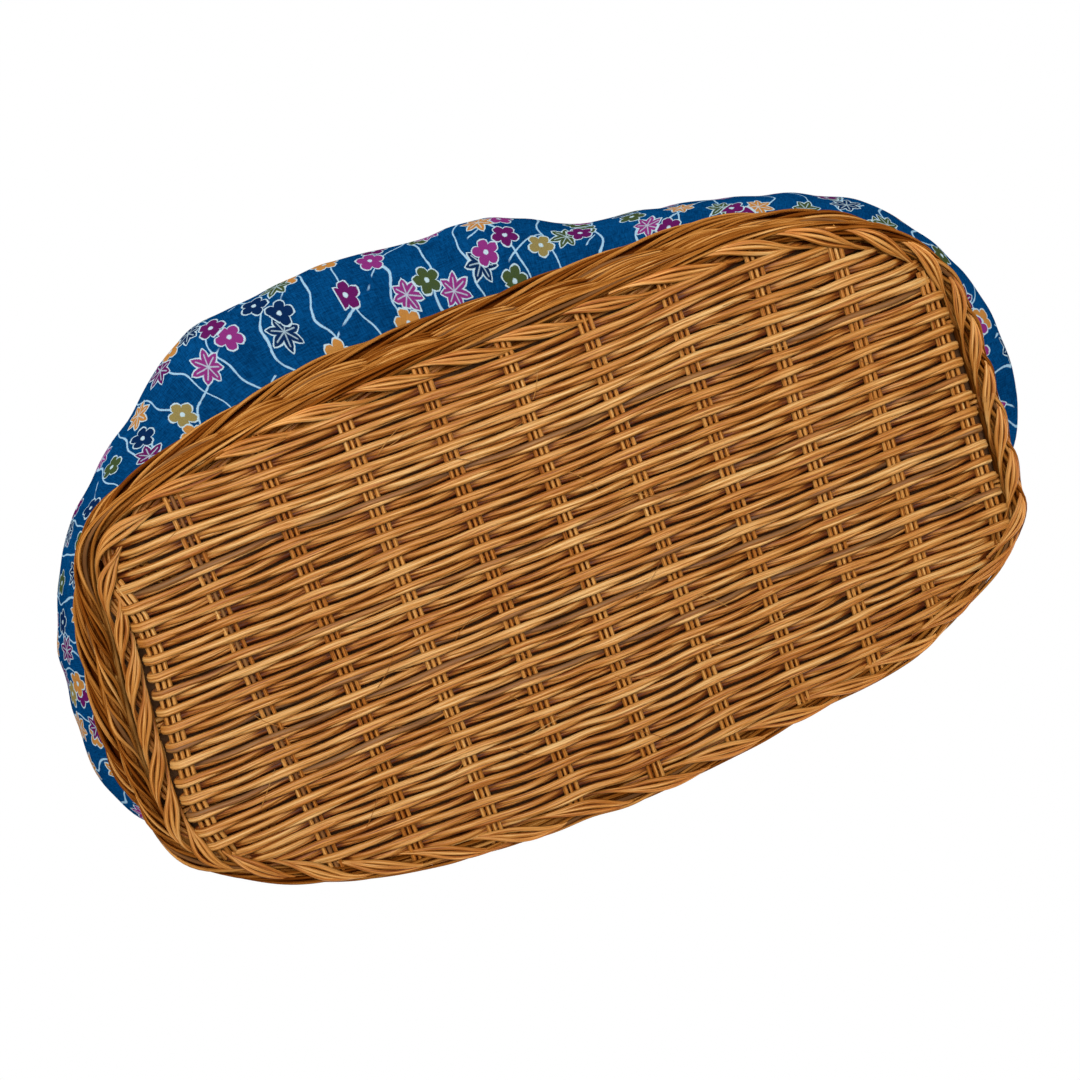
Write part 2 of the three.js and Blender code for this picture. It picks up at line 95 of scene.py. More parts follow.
# Stakes
CROSS_STAKES = 11
END_BAR_INSET = 7 * MM
STAKE_WIDTH = 5.3 * MM
STAKE_RODS = 3
ROD_RADIUS = 0.8 * MM
ROD_PITCH = 1.75 * MM
STAKE_BEND = 5 * MM
END_STAKE_PITCH = 28 * MM
END_STAKE_TAIL = 24 * MM
CORNER_STAKE_TURN = math.radians(29)

# Foot wale, wall and rim
ROPE_STEPS = 2000
CORE_STEPS = 300
RING_STEPS = 400
STEPS_PER_LAY = 24
WALE_PLIES = 3
WALE_RODS = 3
INNER_WALE = {
    "offset": 2.3 * MM, "level": 3.25 * MM, "radius": 3.25 * MM, "rod_radius": 0.85 * MM,
    "lays": (72 * MM, 46 * MM), "hand": -1, "stray": ((178, 20, -1.2),), "slack": 1.0,
}
# Where the outer wale comes out from behind the inner one
OUTER_WALE_STRAY = ((186, 15, 5.0), (-95, 42, 3.4))
OUTER_WALE = {
    "offset": 3.2 * MM, "level": 3.9 * MM, "radius": 2.7 * MM, "rod_radius": 0.66 * MM,
    "lays": (170 * MM, 46 * MM), "hand": 1, "stray": OUTER_WALE_STRAY, "slack": 1.4,
}
SHOULDER_STRAY = ((184, 24, 2.8), (-95, 42, 2.6))
# Plain strands behind the wales: offset, height, radius and share of the outer wale's stray
FOOT_CORES = (
    (0.6 * MM, 6.8 * MM, 1.5 * MM, 0.0),
    (3.0 * MM, 6.4 * MM, 2.5 * MM, 0.75),
    (3.4 * MM, 5.3 * MM, 2.3 * MM, 1.0),
)
SHOULDER_ROWS = 6
SHOULDER_STRAND_RADIUS = 0.62 * MM
# The turn from the foot into the wall, as offset from the base's outline and height
SHOULDER_BEND = ((3.8, 4.4), (4.4, 5.4), (4.8, 6.6), (5.1, 8.0), (5.4, 9.8), (5.6, 11.8))
WALL_INSET = 4 * MM
WALL_ROW_PITCH = 2.5 * MM
WALL_PAIR_GAP = 0.36
WALL_STRAND_RADIUS = 0.6 * MM
WALL_WEAVE_DEPTH = 1.55 * MM
RIM_LAYS = (150 * MM, 86 * MM)
RIM_RODS = 5
RIM_ROD_RADIUS = 0.8 * MM

# Cloth
POUCH_AROUND = 420
POUCH_UP = 72
CLOTH_THICKNESS = 0.7 * MM
SEAT_INSET = 5.3 * MM
NECK_MARGIN = 15 * MM
NECK_DRAW = 1.8 * MM
# Where the pouch is widest: its height, the share of cloth below it and the share above
BULGE_LEVEL = 100 * MM
BULGE_SHARE = 0.42
NECK_SHARE = 0.58
# Ripples of the pouch: folds round it, change going up and seed
SOFT_FOLDS = (26, 1.2, 3.1)
CREASES = (70, 1.0, 8.4)
FINE_GATHERS = (170, 0.7, 5.7)
PLEATS = (130, 0.5, 1.9)
# Where the gathers of the neck begin, and how much of the way up is left from there
GATHERS_FROM = 0.55
GATHERS_REST = 0.45
TUNNEL_GATHER = 2.2
SKIRT_GAP = 0.9 * MM
SKIRT_HEIGHT = 7 * MM
SEAM_HEIGHT = 6.4 * MM
STITCH_PITCH = 3.2 * MM
STITCH_RADIUS = 0.22 * MM
LINING_GAP = 2.6 * MM
TAPE_THICKNESS = 0.8 * MM
# Lobes of the puffed cloth, seen from above: angle, spread and how far each stands out in mm
LOBES = (
    (-127, 24, 13.3), (-76, 9, 2.6), (-62, 8, -2.6), (-44, 15, -7.4), (-14, 16, 7.5),
    (10, 12, 13), (-156, 13, -7.6), (-149, 5, -2.4), (-134, 4, 1.6), (-125, 5, -1.8),
    (-109, 6, -1.4), (-32, 7, 1.3), (15, 5, 2.4), (178, 11, -4.8), (163, 8, 11),
)

# Handles
HANDLE_SPAN = 176 * MM
HANDLE_HEIGHT = 112 * MM
HANDLE_ROD = 9 * MM
HANDLE_POWER = 2.4
HANDLE_MEETING_GAP = 0.8 * MM
NODE_SPACING = 27 * MM
EYE_BORE = 3.7 * MM
EYE_RADIUS = 6.1 * MM
EYE_HALF = 4.6 * MM
EYE_EDGE = 1.0 * MM
BINDING_TURNS = 9
BINDING_START = 5.6 * MM
BINDING_PITCH = 1.55 * MM
BINDING_RADIUS = 0.8 * MM
# Shares of a knob's length and radius
KNOB_PROFILE = (
    (0, 0.62), (0.08, 0.7), (0.16, 0.62), (0.22, 0.66), (0.4, 0.93),
    (0.58, 1.0), (0.76, 0.9), (0.9, 0.6), (0.97, 0.3), (1.0, 0.0),
)

# Stage: place, power and size of each lamp
LAMPS = {
    "key_above": ((-0.7, -1.0, 1.3), 18, 0.8),
    "fill_above": ((1.1, 0.7, 0.9), 7, 1.2),
    "key_below": ((-0.10, -0.50, -1.0), 17.4, 0.9),
    "fill_below": ((0.45, 0.2, -1.1), 8, 1.6),
}
LAMP_TARGET = Vector((0, 0, 0.06))
FLOOR_DROP = 0.2 * MM

# Camera, as measured on the photograph's outline
CAMERA_PLACE = Vector((-0.0705, -0.1317, -0.5044))
CAMERA_RIGHT = Vector((0.924, 0.332, -0.190))
CAMERA_UP = Vector((0.364, -0.915, 0.174))
CAMERA_LENS = 56.67
CAMERA_SENSOR = 36

# Sizes read from the frame
base_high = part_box("base_weave")[1]
foot_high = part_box("foot_wale")[1]
tunnel_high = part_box("front_tunnel")[1]
wall_low, wall_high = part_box("wall_weave")
rim_low, rim_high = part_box("rim_border")
tape_low, tape_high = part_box("rim_tape")
lining_low, lining_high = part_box("basket_lining")
pouch_low, pouch_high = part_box("pouch_cloth")
hinges = {joint["child"]: Vector(joint["pos_m"]) for joint in frame["joints"]}

stake_pitch = 2 * (base_high.x - END_BAR_INSET) / (CROSS_STAKES - 1)
rim_radius = (rim_high.z - rim_low.z) / 2
rim_middle = (rim_high.z + rim_low.z) / 2
rng = random.Random(7)


def summed(steps):
    """Running total, from 0."""
    return np.concatenate([[0], np.cumsum(steps)])


def run_along(points):
    """Length along a line up to each of its points."""
    return summed(np.linalg.norm(np.diff(points, axis=0), axis=1))


def around(count):
    """Even shares of the way round an outline."""
    return np.linspace(0, 1, count, endpoint=False)


def centred(index, count, pitch):
    """Place of one of several things in a row about 0."""
    return (index - (count - 1) / 2) * pitch


class Outline:
    """Plan outline |x/a|^n + |y/b|^m = 1, walked by its arc length from +X towards +Y."""

    def __init__(self, a, b, powers):
        self.a, self.b = a, b
        self.n, self.m = powers
        self.turn = np.linspace(0, 2 * np.pi, OUTLINE_STEPS + 1)
        self.x, self.y = self.plan(self.turn)
        self.arc = summed(np.hypot(np.diff(self.x), np.diff(self.y)))
        self.length = self.arc[-1]

    def plan(self, turn):
        c, s = np.cos(turn), np.sin(turn)
        x = self.a * np.sign(c) * np.abs(c) ** (2 / self.n)
        y = self.b * np.sign(s) * np.abs(s) ** (2 / self.m)
        return x, y

    def grown(self, offset):
        return Outline(self.a + offset, self.b + offset, (self.n, self.m))

    def mixed(self, other, share):
        def mix(p, q):
            return p + (q - p) * share
        powers = (mix(self.n, other.n), mix(self.m, other.m))
        return Outline(mix(self.a, other.a), mix(self.b, other.b), powers)

    def at(self, share):
        run = np.asarray(share) % 1 * self.length
        return np.interp(run, self.arc, self.x), np.interp(run, self.arc, self.y)

    def even_turns(self, count):
        return np.interp(np.linspace(0, self.length, count, endpoint=False), self.arc, self.turn)

    def share_of(self, turn):
        return np.interp(turn % (2 * np.pi), self.turn, self.arc) / self.length

    def outward(self, x, y):
        if not self.a:
            return x, y
        across = self.n / self.a * np.sign(x) * np.abs(x / self.a) ** (self.n - 1)
        along = self.m / self.b * np.sign(y) * np.abs(y / self.b) ** (self.m - 1)
        size = np.hypot(across, along)
        return across / size, along / size

    def reach_x(self, y):
        return self.a * max(1 - abs(y / self.b) ** self.m, 0) ** (1 / self.n)

    def reach_y(self, x):
        return self.b * max(1 - abs(x / self.a) ** self.n, 0) ** (1 / self.m)

    def turn_at_x(self, x, side):
        return side * math.acos(math.copysign(abs(x / self.a) ** (self.n / 2), x))

    def turn_at_y(self, y, side):
        rise = math.asin(math.copysign(abs(y / self.b) ** (self.m / 2), y))
        return rise if side > 0 else math.pi - rise


base_outline = Outline(base_high.x, base_high.y, BASE_POWERS)
wall_seat = Outline(foot_high.x - WALL_INSET, foot_high.y - WALL_INSET, BASE_POWERS)
rim_outline = Outline(rim_high.x - rim_radius, rim_high.y - rim_radius, RIM_POWERS)
bulge_outline = Outline(pouch_high.x, pouch_high.y, POUCH_POWERS)
neck_outline = Outline(
    tunnel_high.x + NECK_MARGIN, abs(hinges["front_handle"].y) - NECK_DRAW, NECK_POWERS
)


def wall_outline(z):
    return wall_seat.mixed(rim_outline, (z - wall_low.z) / (rim_middle - wall_low.z))


def lobes(x, y, table):
    """How far an edge stands out at a plan direction."""
    angle = np.degrees(np.arctan2(y, x))
    total = np.zeros_like(angle)
    for middle, spread, size in table:
        away = (angle - middle + 180) % 360 - 180
        total += size * MM * np.exp(-0.5 * (away / spread) ** 2)
    return total


def handmade(x, y, z):
    """The basket's own unevenness, less at the rim and none at the neck of the cloth."""
    heights = [foot_high.z, rim_high.z, pouch_high.z]
    fade = np.interp(z, heights, [1, RIM_UNEVEN, 0])
    edge = np.clip(np.hypot(x / base_high.x, y / base_high.y), 0, 1.2) ** 2
    rimward = np.interp(z, [foot_high.z, rim_high.z, BULGE_LEVEL], [0, 1, 0])
    push = (lobes(x, y, UNEVEN) * fade + lobes(x, y, RIM_STRAY) * rimward) * edge
    reach = np.maximum(np.hypot(x, y), 1 * MM)
    return x + push * x / reach, y + push * y / reach


def wander(along, size, wave):
    """A slow random drift along a strand; wave is the length of its longest swing."""
    swing = np.sin(2 * np.pi * along / wave + rng.uniform(0, 2 * np.pi))
    flutter = np.sin(2 * np.pi * along / wave * 3 + rng.uniform(0, 2 * np.pi))
    return size * (swing + 0.4 * flutter)


def line_path(x, y, z, radius):
    """Points of a strand with their radius."""
    return np.column_stack(np.broadcast_arrays(x, y, z, radius))


def path_of(x, y, z, radius):
    """The same, with the basket's unevenness in them."""
    return line_path(*handmade(x, y, z), z, radius)


# Shader maths


def operator(operation):
    return lambda tone, *others: tone.maths(operation, *others)


class Tone:
    """A shader socket that takes part in sums."""

    __add__ = __radd__ = operator("ADD")
    __sub__ = operator("SUBTRACT")
    __mul__ = __rmul__ = operator("MULTIPLY")
    __truediv__ = operator("DIVIDE")
    __pow__ = operator("POWER")
    __abs__ = operator("ABSOLUTE")

    def __init__(self, paint, socket):
        self.paint = paint
        self.socket = socket

    def __rsub__(self, other):
        return self * -1 + other

    def maths(self, operation, *others):
        return self.paint.node("Math", dict(enumerate((self, *others))), operation=operation)

    def above(self, edge, softness):
        """0 below the edge and 1 above it, with a soft step."""
        return ((self - edge) / softness + 0.5).maths("MINIMUM", 1).maths("MAXIMUM", 0)


class Shading:
    """A node tree in the making, with one method that adds nodes."""

    def __init__(self, tree, output_kind):
        self.tree = tree
        self.tree.nodes.clear()
        self.end = self.tree.nodes.new(output_kind)

    def show(self, shader):
        self.tree.links.new(shader.socket, self.end.inputs[0])

    def node(self, kind, values=None, out=0, **settings):
        made = self.tree.nodes.new("ShaderNode" + kind)
        for key, value in settings.items():
            if key == "stops":
                self.set_stops(made.color_ramp, value)
            elif key == "stepped":
                made.color_ramp.interpolation = "CONSTANT"
            else:
                setattr(made, key, value)
        for key, value in (values or {}).items():
            self.feed(made.inputs[key], value)
        return Tone(self, made.outputs[out])

    def set_stops(self, ramp, stops):
        while len(ramp.elements) < len(stops):
            ramp.elements.new(1)
        for element, (place, colour) in zip(ramp.elements, stops):
            element.position = place
            element.color = (*colour, 1)

    def feed(self, socket, value):
        if isinstance(value, Tone):
            self.tree.links.new(value.socket, socket)
        elif socket.type == "RGBA" and len(value) == 3:
            socket.default_value = (*value, 1)
        else:
            socket.default_value = value

    def output(self, tone, name):
        """Another output of the node that a tone comes from."""
        return Tone(self, tone.socket.node.outputs[name])

    def seen(self):
        """1 for rays that show the backdrop: the camera's own, and those through gloss and glass."""
        rays = self.node("LightPath", out="Is Camera Ray")
        glossy = self.output(rays, "Is Glossy Ray")
        through = self.output(rays, "Is Transmission Ray")
        return rays.maths("MAXIMUM", glossy).maths("MAXIMUM", through)


class Finish(Shading):
    """A material on the Principled shader."""

    def __init__(self, name, shader_values):
        self.material = bpy.data.materials.new(name)
        self.material.use_nodes = True
        super().__init__(self.material.node_tree, "ShaderNodeOutputMaterial")
        self.shader = self.node("BsdfPrincipled", shader_values)
        self.show(self.shader)

    def place(self):
        return self.node("TexCoord", out="Object")

    def attribute(self, name, out):
        return self.node("Attribute", out=out, attribute_name=name)

    def noise(self, vector, scale, detail=2.0, rough=0.5):
        values = {"Vector": vector, "Scale": scale, "Detail": detail, "Roughness": rough}
        return self.node("TexNoise", values)

    def ramp(self, factor, stops, **settings):
        return self.node("ValToRGB", {"Fac": factor}, stops=stops, **settings)

    def mix(self, factor, first, second):
        return self.node("Mix", {0: factor, 6: first, 7: second}, 2, data_type="RGBA")

    def scaled(self, vector, factors):
        return self.node("VectorMath", {0: vector, 1: factors}, operation="MULTIPLY")

    def part(self, vector, axis):
        return self.node("SeparateXYZ", {0: vector}, axis)

    def bump(self, height, distance, strength):
        values = {"Height": height, "Distance": distance, "Strength": strength}
        return self.node("Bump", values)

    def finish(self, colour, roughness, normal):
        sockets = self.shader.socket.node.inputs
        self.feed(sockets["Base Color"], colour)
        self.feed(sockets["Normal"], normal)
        if roughness:
            self.feed(sockets["Roughness"], roughness)
        return self.material


# Linear colours
WICKER_STOPS = (
    (0.0, (0.085, 0.013, 0.0008)),
    (0.28, (0.285, 0.070, 0.0055)),
    (0.52, (0.52, 0.182, 0.026)),
    (0.76, (0.71, 0.335, 0.084)),
    (1.0, (0.87, 0.54, 0.21)),
)
# Darker copy of the cane's colours, as painted shade on the wall, the band at the foot and the rim
SHADED_WICKER_STOPS = (
    (0.0, (0.055, 0.010, 0.0008)),
    (0.28, (0.19, 0.052, 0.0055)),
    (0.52, (0.34, 0.130, 0.022)),
    (0.76, (0.50, 0.235, 0.062)),
    (1.0, (0.66, 0.40, 0.15)),
)
# How much a strand's own tone, its fibres and the painted shade in the gaps count
FLOAT_SHARES = (0.34, 1.1, 0.7)
WALL_SHARES = (0.7, 0.7, 1.0)
BAND_SHARES = (0.6, 0.75, 1.2)
GREY_WICKER = (0.19, 0.092, 0.034)
GAP_REACH = 3.5 * MM
# Height above which the base's strands get painted shade, where they sink behind the stakes, and the
# softness of that edge
SUNK_SHADE_LEVEL = (2.7 * MM, 1.2 * MM)
# Tone below which a strand is greyed, and the softness of that edge
GREYED_TONE = (0.06, 0.03)
CREPE_DARK = (0.0004, 0.022, 0.076)
CREPE_LIGHT = (0.0015, 0.052, 0.165)
PRINT_LINE = (0.26, 0.42, 0.54)
PRINT_OUTLINE = (0.34, 0.45, 0.50)
# Spacing of the print's lines; size of cell, shift and share of filled cells of its motifs
STREAM_SPACING = 0.0155
BRANCH_SPACING = 0.021
MOTIF_LAYERS = ((0.0150, 0.0, 0.86), (0.0185, 7.3, 0.42))
MOTIF_TURN = 6.28
FULL_TURN = 6.2832
LEAF_FINGERS = 7
LEAF_LENGTH = 6.9 * MM
LEAF_PALM = 2.3 * MM
LEAF_WIDTH = 6.4 * MM
BLOSSOM_RADIUS = 5.0 * MM
BLOSSOM_HEART = 0.85 * MM
THREAD_RATE = 7800
NODE_RING = (0.12, 0.045, 0.012)
BAMBOO_STOPS = (
    (0.25, (0.30, 0.125, 0.030)),
    (0.55, (0.50, 0.245, 0.070)),
    (0.85, (0.68, 0.40, 0.15)),
)
TURNED_STOPS = (
    (0.25, (0.055, 0.020, 0.008)),
    (0.55, (0.125, 0.050, 0.019)),
    (0.85, (0.22, 0.10, 0.042)),
)
PRINT_COLOURS = (
    (0.0, (0.085, 0.004, 0.062)),
    (0.24, (0.36, 0.155, 0.026)),
    (0.42, (0.038, 0.056, 0.011)),
    (0.60, (0.0024, 0.012, 0.050)),
    (0.76, (0.175, 0.018, 0.125)),
    (0.97, (0.20, 0.155, 0.045)),
)


def wicker_finish(name, stops, level, gloss, shares, alone=True, sunk_shade=0.0):
    """Varnished cane: streaks along each strand, its own tone, some greyed strands, painted shade in
    the gaps.

    The gaps are those of the piece alone, or else those next to other pieces too. On the base the
    painted shade also gathers where strands are sunk behind the stakes.
    """
    finish = Finish(name, {"Specular IOR Level": gloss})
    grain = finish.attribute("grain", "Vector")
    tone = finish.attribute("tone", "Fac")
    streak = finish.noise(grain, 1500, 1) - 0.5
    fibre = finish.noise(grain, 3600, 1) - 0.5
    place = finish.place()
    patch = finish.noise(place, 60) - 0.5
    depth = {"Distance": GAP_REACH}
    # Painted shade: ambient occlusion darkens the colour in the gaps between strands
    occluded_shade = 1 - finish.node("AmbientOcclusion", depth, "AO", samples=3, only_local=alone)
    tone_share, fibre_share, gap_shade_share = shares
    shade = tone_share * tone + 0.5 * streak + fibre_share * fibre + 0.2 * patch
    shade = shade - gap_shade_share * occluded_shade + level
    # Painted shade on the base's strands where they sink behind the stakes
    if sunk_shade:
        shade = shade - sunk_shade * finish.part(place, "Z").above(*SUNK_SHADE_LEVEL)
    colour = finish.ramp(shade, stops)
    greyed = (1 - tone.above(*GREYED_TONE)) * (0.6 + streak)
    colour = finish.mix(greyed, colour, GREY_WICKER)
    relief = finish.bump(0.4 * streak + 0.6 * fibre, 0.2 * MM, 0.8)
    return finish.finish(colour, 0.5 - 0.3 * fibre, relief)


def printed_motif(finish, flat, weave, ragged, cell_size, shift, share):
    """A leaf or a blossom in a share of the cells: where it covers the cloth, and its colours."""
    step = 1 / cell_size
    values = {0: flat, "Location": (shift, shift, 0), "Scale": (step, step, 1)}
    cells = finish.node("Mapping", values)
    values = {"Vector": cells, "Scale": 1.0, "Randomness": 0.8}
    plane = {"voronoi_dimensions": "2D"}
    nearest = finish.node("TexVoronoi", values, **plane)
    pick = finish.output(nearest, "Color")
    centre = finish.output(nearest, "Position")
    local = finish.node("VectorMath", {0: cells, 1: centre}, operation="SUBTRACT")
    kind = finish.part(pick, "X")
    turn = finish.part(local, "Y").maths("ARCTAN2", finish.part(local, "X"))
    turn = turn + finish.part(pick, "Y") * MOTIF_TURN
    radius = finish.output(nearest, "Distance") * cell_size + (ragged - 0.5) * 1.1 * MM
    border = finish.node("TexVoronoi", values, feature="DISTANCE_TO_EDGE", **plane) * cell_size

    # Seven pointed fingers on a small palm
    finger = (turn * (LEAF_FINGERS / FULL_TURN)).maths("FRACT") - 0.5
    finger = finger * (FULL_TURN / LEAF_FINGERS)
    across = abs(radius * finger.maths("SINE"))
    reach = radius / (LEAF_LENGTH * (0.87 + 0.13 * turn.maths("COSINE")))
    leaf = (reach * (1 - reach) * LEAF_WIDTH - across).maths("MAXIMUM", LEAF_PALM - radius)
    vein = (1 - across.above(0.2 * MM, 0.25 * MM)) * (1 - reach.above(0.7, 0.05))

    # Five petals round a dot
    blossom = (0.62 + 0.38 * abs((turn * 2.5).maths("COSINE")) ** 0.7) * BLOSSOM_RADIUS - radius
    heart = 1 - radius.above(BLOSSOM_HEART, 0.3 * MM)

    is_leaf = kind.above(share * 0.5, 0.001)
    margin = (leaf * is_leaf + blossom * (1 - is_leaf)).maths("MINIMUM", border - 0.15 * MM)
    inside = margin.above(-0.2 * MM, 0.2 * MM) * (1 - kind.above(share, 0.001))
    filled = margin.above(0.3 * MM, 0.25 * MM)
    pale = 0.7 * vein * is_leaf + heart * (1 - is_leaf)
    ink = finish.ramp(finish.part(pick, "Z"), PRINT_COLOURS, stepped=True)
    ink = finish.mix((weave - 0.3) * 0.8, ink, finish.mix(0.35, ink, CREPE_LIGHT))
    return inside, finish.mix(filled * (1 - pale), PRINT_OUTLINE, ink)


def crepe_finish():
    """Blue crepe with a print of pale streams, seven-pointed leaves and five-petalled blossoms."""
    finish = Finish("crepe", {"Roughness": 0.9, "Specular IOR Level": 0.0})
    flat = finish.node("UVMap", uv_map="UVMap")
    along = finish.part(flat, "X")
    up = finish.part(flat, "Y")
    warp = finish.noise(finish.scaled(flat, (2200, 330, 1)), 1.0, 1)
    weft = finish.noise(finish.scaled(flat, (330, 2200, 1)), 1.0, 1)
    weave = 0.5 * warp + 0.5 * weft
    cloud = finish.noise(flat, 60)
    ground = (weave - 0.5) * 3.2 + (cloud - 0.5) * 1.1 + 0.42
    colour = finish.mix(ground, CREPE_DARK, CREPE_LIGHT)

    # Streams that rise up the cloth, and short branches between them
    sway = finish.noise(finish.scaled(flat, (34, 48, 1)), 1.0, 1)
    ragged = finish.noise(flat, 620)

    def stripes(place, spacing):
        share = (place / spacing).maths("FRACT")
        return abs(share - 0.5) * spacing + (ragged - 0.5) * 0.5 * MM

    stream = stripes(along + 0.024 * sway, STREAM_SPACING)
    branch = stripes(along * 0.7 - up * 0.75 - 0.020 * sway, BRANCH_SPACING)
    part_way = finish.noise(flat, 75, 1).above(0.53, 0.02)
    line = 1 - stream.above(0.36 * MM, 0.22 * MM)
    line = line.maths("MAXIMUM", (1 - branch.above(0.34 * MM, 0.22 * MM)) * part_way)
    colour = finish.mix(line * 0.92, colour, PRINT_LINE)

    # Two layers of motifs, the second sparse, so that some of them cluster
    for layer in MOTIF_LAYERS:
        inside, motif = printed_motif(finish, flat, weave, ragged, *layer)
        colour = finish.mix(inside, colour, motif)

    # Crepe's pebbled surface
    pebble = finish.noise(finish.scaled(flat, (1, 0.55, 1)), 1500, 2, 0.6)
    relief = finish.bump(pebble + 0.8 * weave, 0.4 * MM, 0.9)
    return finish.finish(colour, None, relief)


def cotton_finish(name, colours):
    """Plain cotton with its weave, between two colours."""
    finish = Finish(name, {"Roughness": 0.9, "Specular IOR Level": 0.15})
    place = finish.place()
    warp = (finish.part(place, "X") * THREAD_RATE).maths("SINE")
    weft = ((finish.part(place, "Y") + finish.part(place, "Z")) * THREAD_RATE).maths("SINE")
    slub = finish.noise(place, 400, 3)
    colour = finish.mix(slub, *colours)
    relief = finish.bump(warp * weft + slub, 0.12 * MM, 0.6)
    return finish.finish(colour, None, relief)


def bamboo_finish():
    """Bent bamboo: honey coloured, with fine fibres and darker rings at the nodes."""
    finish = Finish("bamboo", {"Coat Weight": 0.35, "Coat Roughness": 0.18})
    grain = finish.attribute("grain", "Vector")
    ring = finish.attribute("ring", "Fac")
    fibre = finish.noise(grain, 1500, 3, 0.6)
    cloud = finish.noise(grain, 220)
    colour = finish.ramp(0.55 * fibre + 0.5 * cloud, BAMBOO_STOPS)
    colour = finish.mix(ring * 0.75, colour, NODE_RING)
    relief = finish.bump(fibre, 0.1 * MM, 0.5)
    return finish.finish(colour, 0.5 - 0.2 * fibre, relief)


def wood_finish(name, stops, coat):
    """Turned wood with its grain along X."""
    finish = Finish(name, {"Coat Weight": coat, "Coat Roughness": 0.22})
    place = finish.place()
    grain = finish.noise(finish.scaled(place, (90, 900, 900)), 1.0, 3, 0.6)
    pores = finish.noise(finish.scaled(place, (500, 4200, 4200)), 1.0, 2, 0.6)
    colour = finish.ramp(0.75 * grain + 0.3 * pores, stops)
    relief = finish.bump(0.5 * grain + 0.5 * pores, 0.12 * MM, 0.5)
    return finish.finish(colour, 0.62 - 0.3 * grain, relief)


wicker = wicker_finish("wicker", WICKER_STOPS, 0.39, 0.25, FLOAT_SHARES)
# The base's strands carry painted shade where they sink behind the stakes
base_wicker = wicker_finish("base_wicker", WICKER_STOPS, 0.49, 0.32, FLOAT_SHARES, True, 0.5)
# Stakes a little darker than the base's strands, as painted shade from the rows over them
shaded_stake_wicker = wicker_finish("shaded_stake_wicker", WICKER_STOPS, 0.38, 0.2, FLOAT_SHARES)
# The wall, the band at the foot and the rim in darker colours, as painted shade; the rim's painted
# shade in the gaps also falls where it meets the cloth
shaded_wall_wicker = wicker_finish("shaded_wall_wicker", SHADED_WICKER_STOPS, 0.12, 0.0, WALL_SHARES)
shaded_band_wicker = wicker_finish("shaded_band_wicker", SHADED_WICKER_STOPS, 0.08, 0.0, BAND_SHARES)
shaded_rim_wicker = wicker_finish("shaded_rim_wicker", SHADED_WICKER_STOPS, 0.17, 0.0, BAND_SHARES, False)
crepe = crepe_finish()
cotton = cotton_finish("cotton", ((0.36, 0.27, 0.165), (0.58, 0.47, 0.33)))
# The lining is real; its dark brown outside is painted shade seen through the gaps of the weave
gap_shade_netting = cotton_finish("gap_shade_netting", ((0.045, 0.014, 0.004), (0.17, 0.08, 0.035)))
thread = cotton_finish("thread", ((0.012, 0.060, 0.150), (0.040, 0.120, 0.24)))
bamboo = bamboo_finish()
turned_wood = wood_finish("turned_wood", TURNED_STOPS, 0.3)
bar_wood = wood_finish("bar_wood", BAMBOO_STOPS, 0.35)


# Making pieces


def link(name, data):
    made = bpy.data.objects.new(name, data)
    scene.collection.objects.link(made)
    return made


def add(name, mesh, finish, body="bag", hides=()):
    piece = link(name, mesh)
    mesh.materials.append(finish)
    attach(piece, body)
    if hides:
        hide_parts(*hides)
    return piece


def keep_values(mesh, name, values):
    """Stores a number or a vector for each point of a mesh."""
    kind, key = ("FLOAT", "value") if values.ndim == 1 else ("FLOAT_VECTOR", "vector")
    mesh.attributes.new(name, kind, "POINT").data.foreach_set(key, values.ravel())


def strand_mesh(name, paths, cyclic=False, sides=6, ring=None):
    """Round strands along paths of x, y, z and radius, with attributes for their grain and tone."""
    curve = bpy.data.curves.new(name, "CURVE")
    curve.dimensions = "3D"
    curve.bevel_depth = 1
    curve.bevel_resolution = (sides - 4) // 2
    for path in paths:
        spline = curve.splines.new("POLY")
        spline.points.add(len(path) - 1)
        places = np.column_stack([path[:, :3], np.ones(len(path))])
        spline.points.foreach_set("co", places.ravel())
        spline.points.foreach_set("radius", path[:, 3])
        spline.use_cyclic_u = cyclic
    holder = link(name, curve)
    seen = holder.evaluated_get(bpy.context.evaluated_depsgraph_get())
    mesh = bpy.data.meshes.new_from_object(seen)
    bpy.data.objects.remove(holder)
    bpy.data.curves.remove(curve)

    grain, tone = [], []
    turn = np.arange(sides) / sides * 2 * np.pi
    for path in paths:
        along = GRAIN_STRETCH * run_along(path[:, :3])[:, None]
        x = path[:, 3:] * np.cos(turn) + rng.uniform(0, 0.5)
        y = path[:, 3:] * np.sin(turn) + rng.uniform(0, 0.5)
        z = np.broadcast_to(along, x.shape)
        grain.append(np.stack([x, y, z], axis=2).reshape(-1, 3))
        tone.append(np.full(x.size, rng.random()))
    keep_values(mesh, "grain", np.concatenate(grain))
    keep_values(mesh, "tone", np.concatenate(tone))
    if ring is not None:
        keep_values(mesh, "ring", np.repeat(ring, sides))

    if not cyclic:
        shape = bmesh.new()
        shape.from_mesh(mesh)
        rims = [edge for edge in shape.edges if edge.is_boundary]
        bmesh.ops.holes_fill(shape, edges=rims, sides=0)
        shape.to_mesh(mesh)
        shape.free()
    mesh.shade_smooth()
    return mesh


def add_strands(name, paths, finish, slot="wicker", body="bag", hides=(), **shape):
    return add(name, strand_mesh(name, paths, **shape), finish, body, hides)


def mesh_from(shape, name):
    mesh = bpy.data.meshes.new(name)
    shape.to_mesh(mesh)
    shape.free()
    mesh.shade_smooth()
    return mesh


def flat_grid(across, up):
    """Flat coordinates of a cloth, from those of its columns and rows."""
    return np.stack(np.meshgrid(across, up), axis=2)


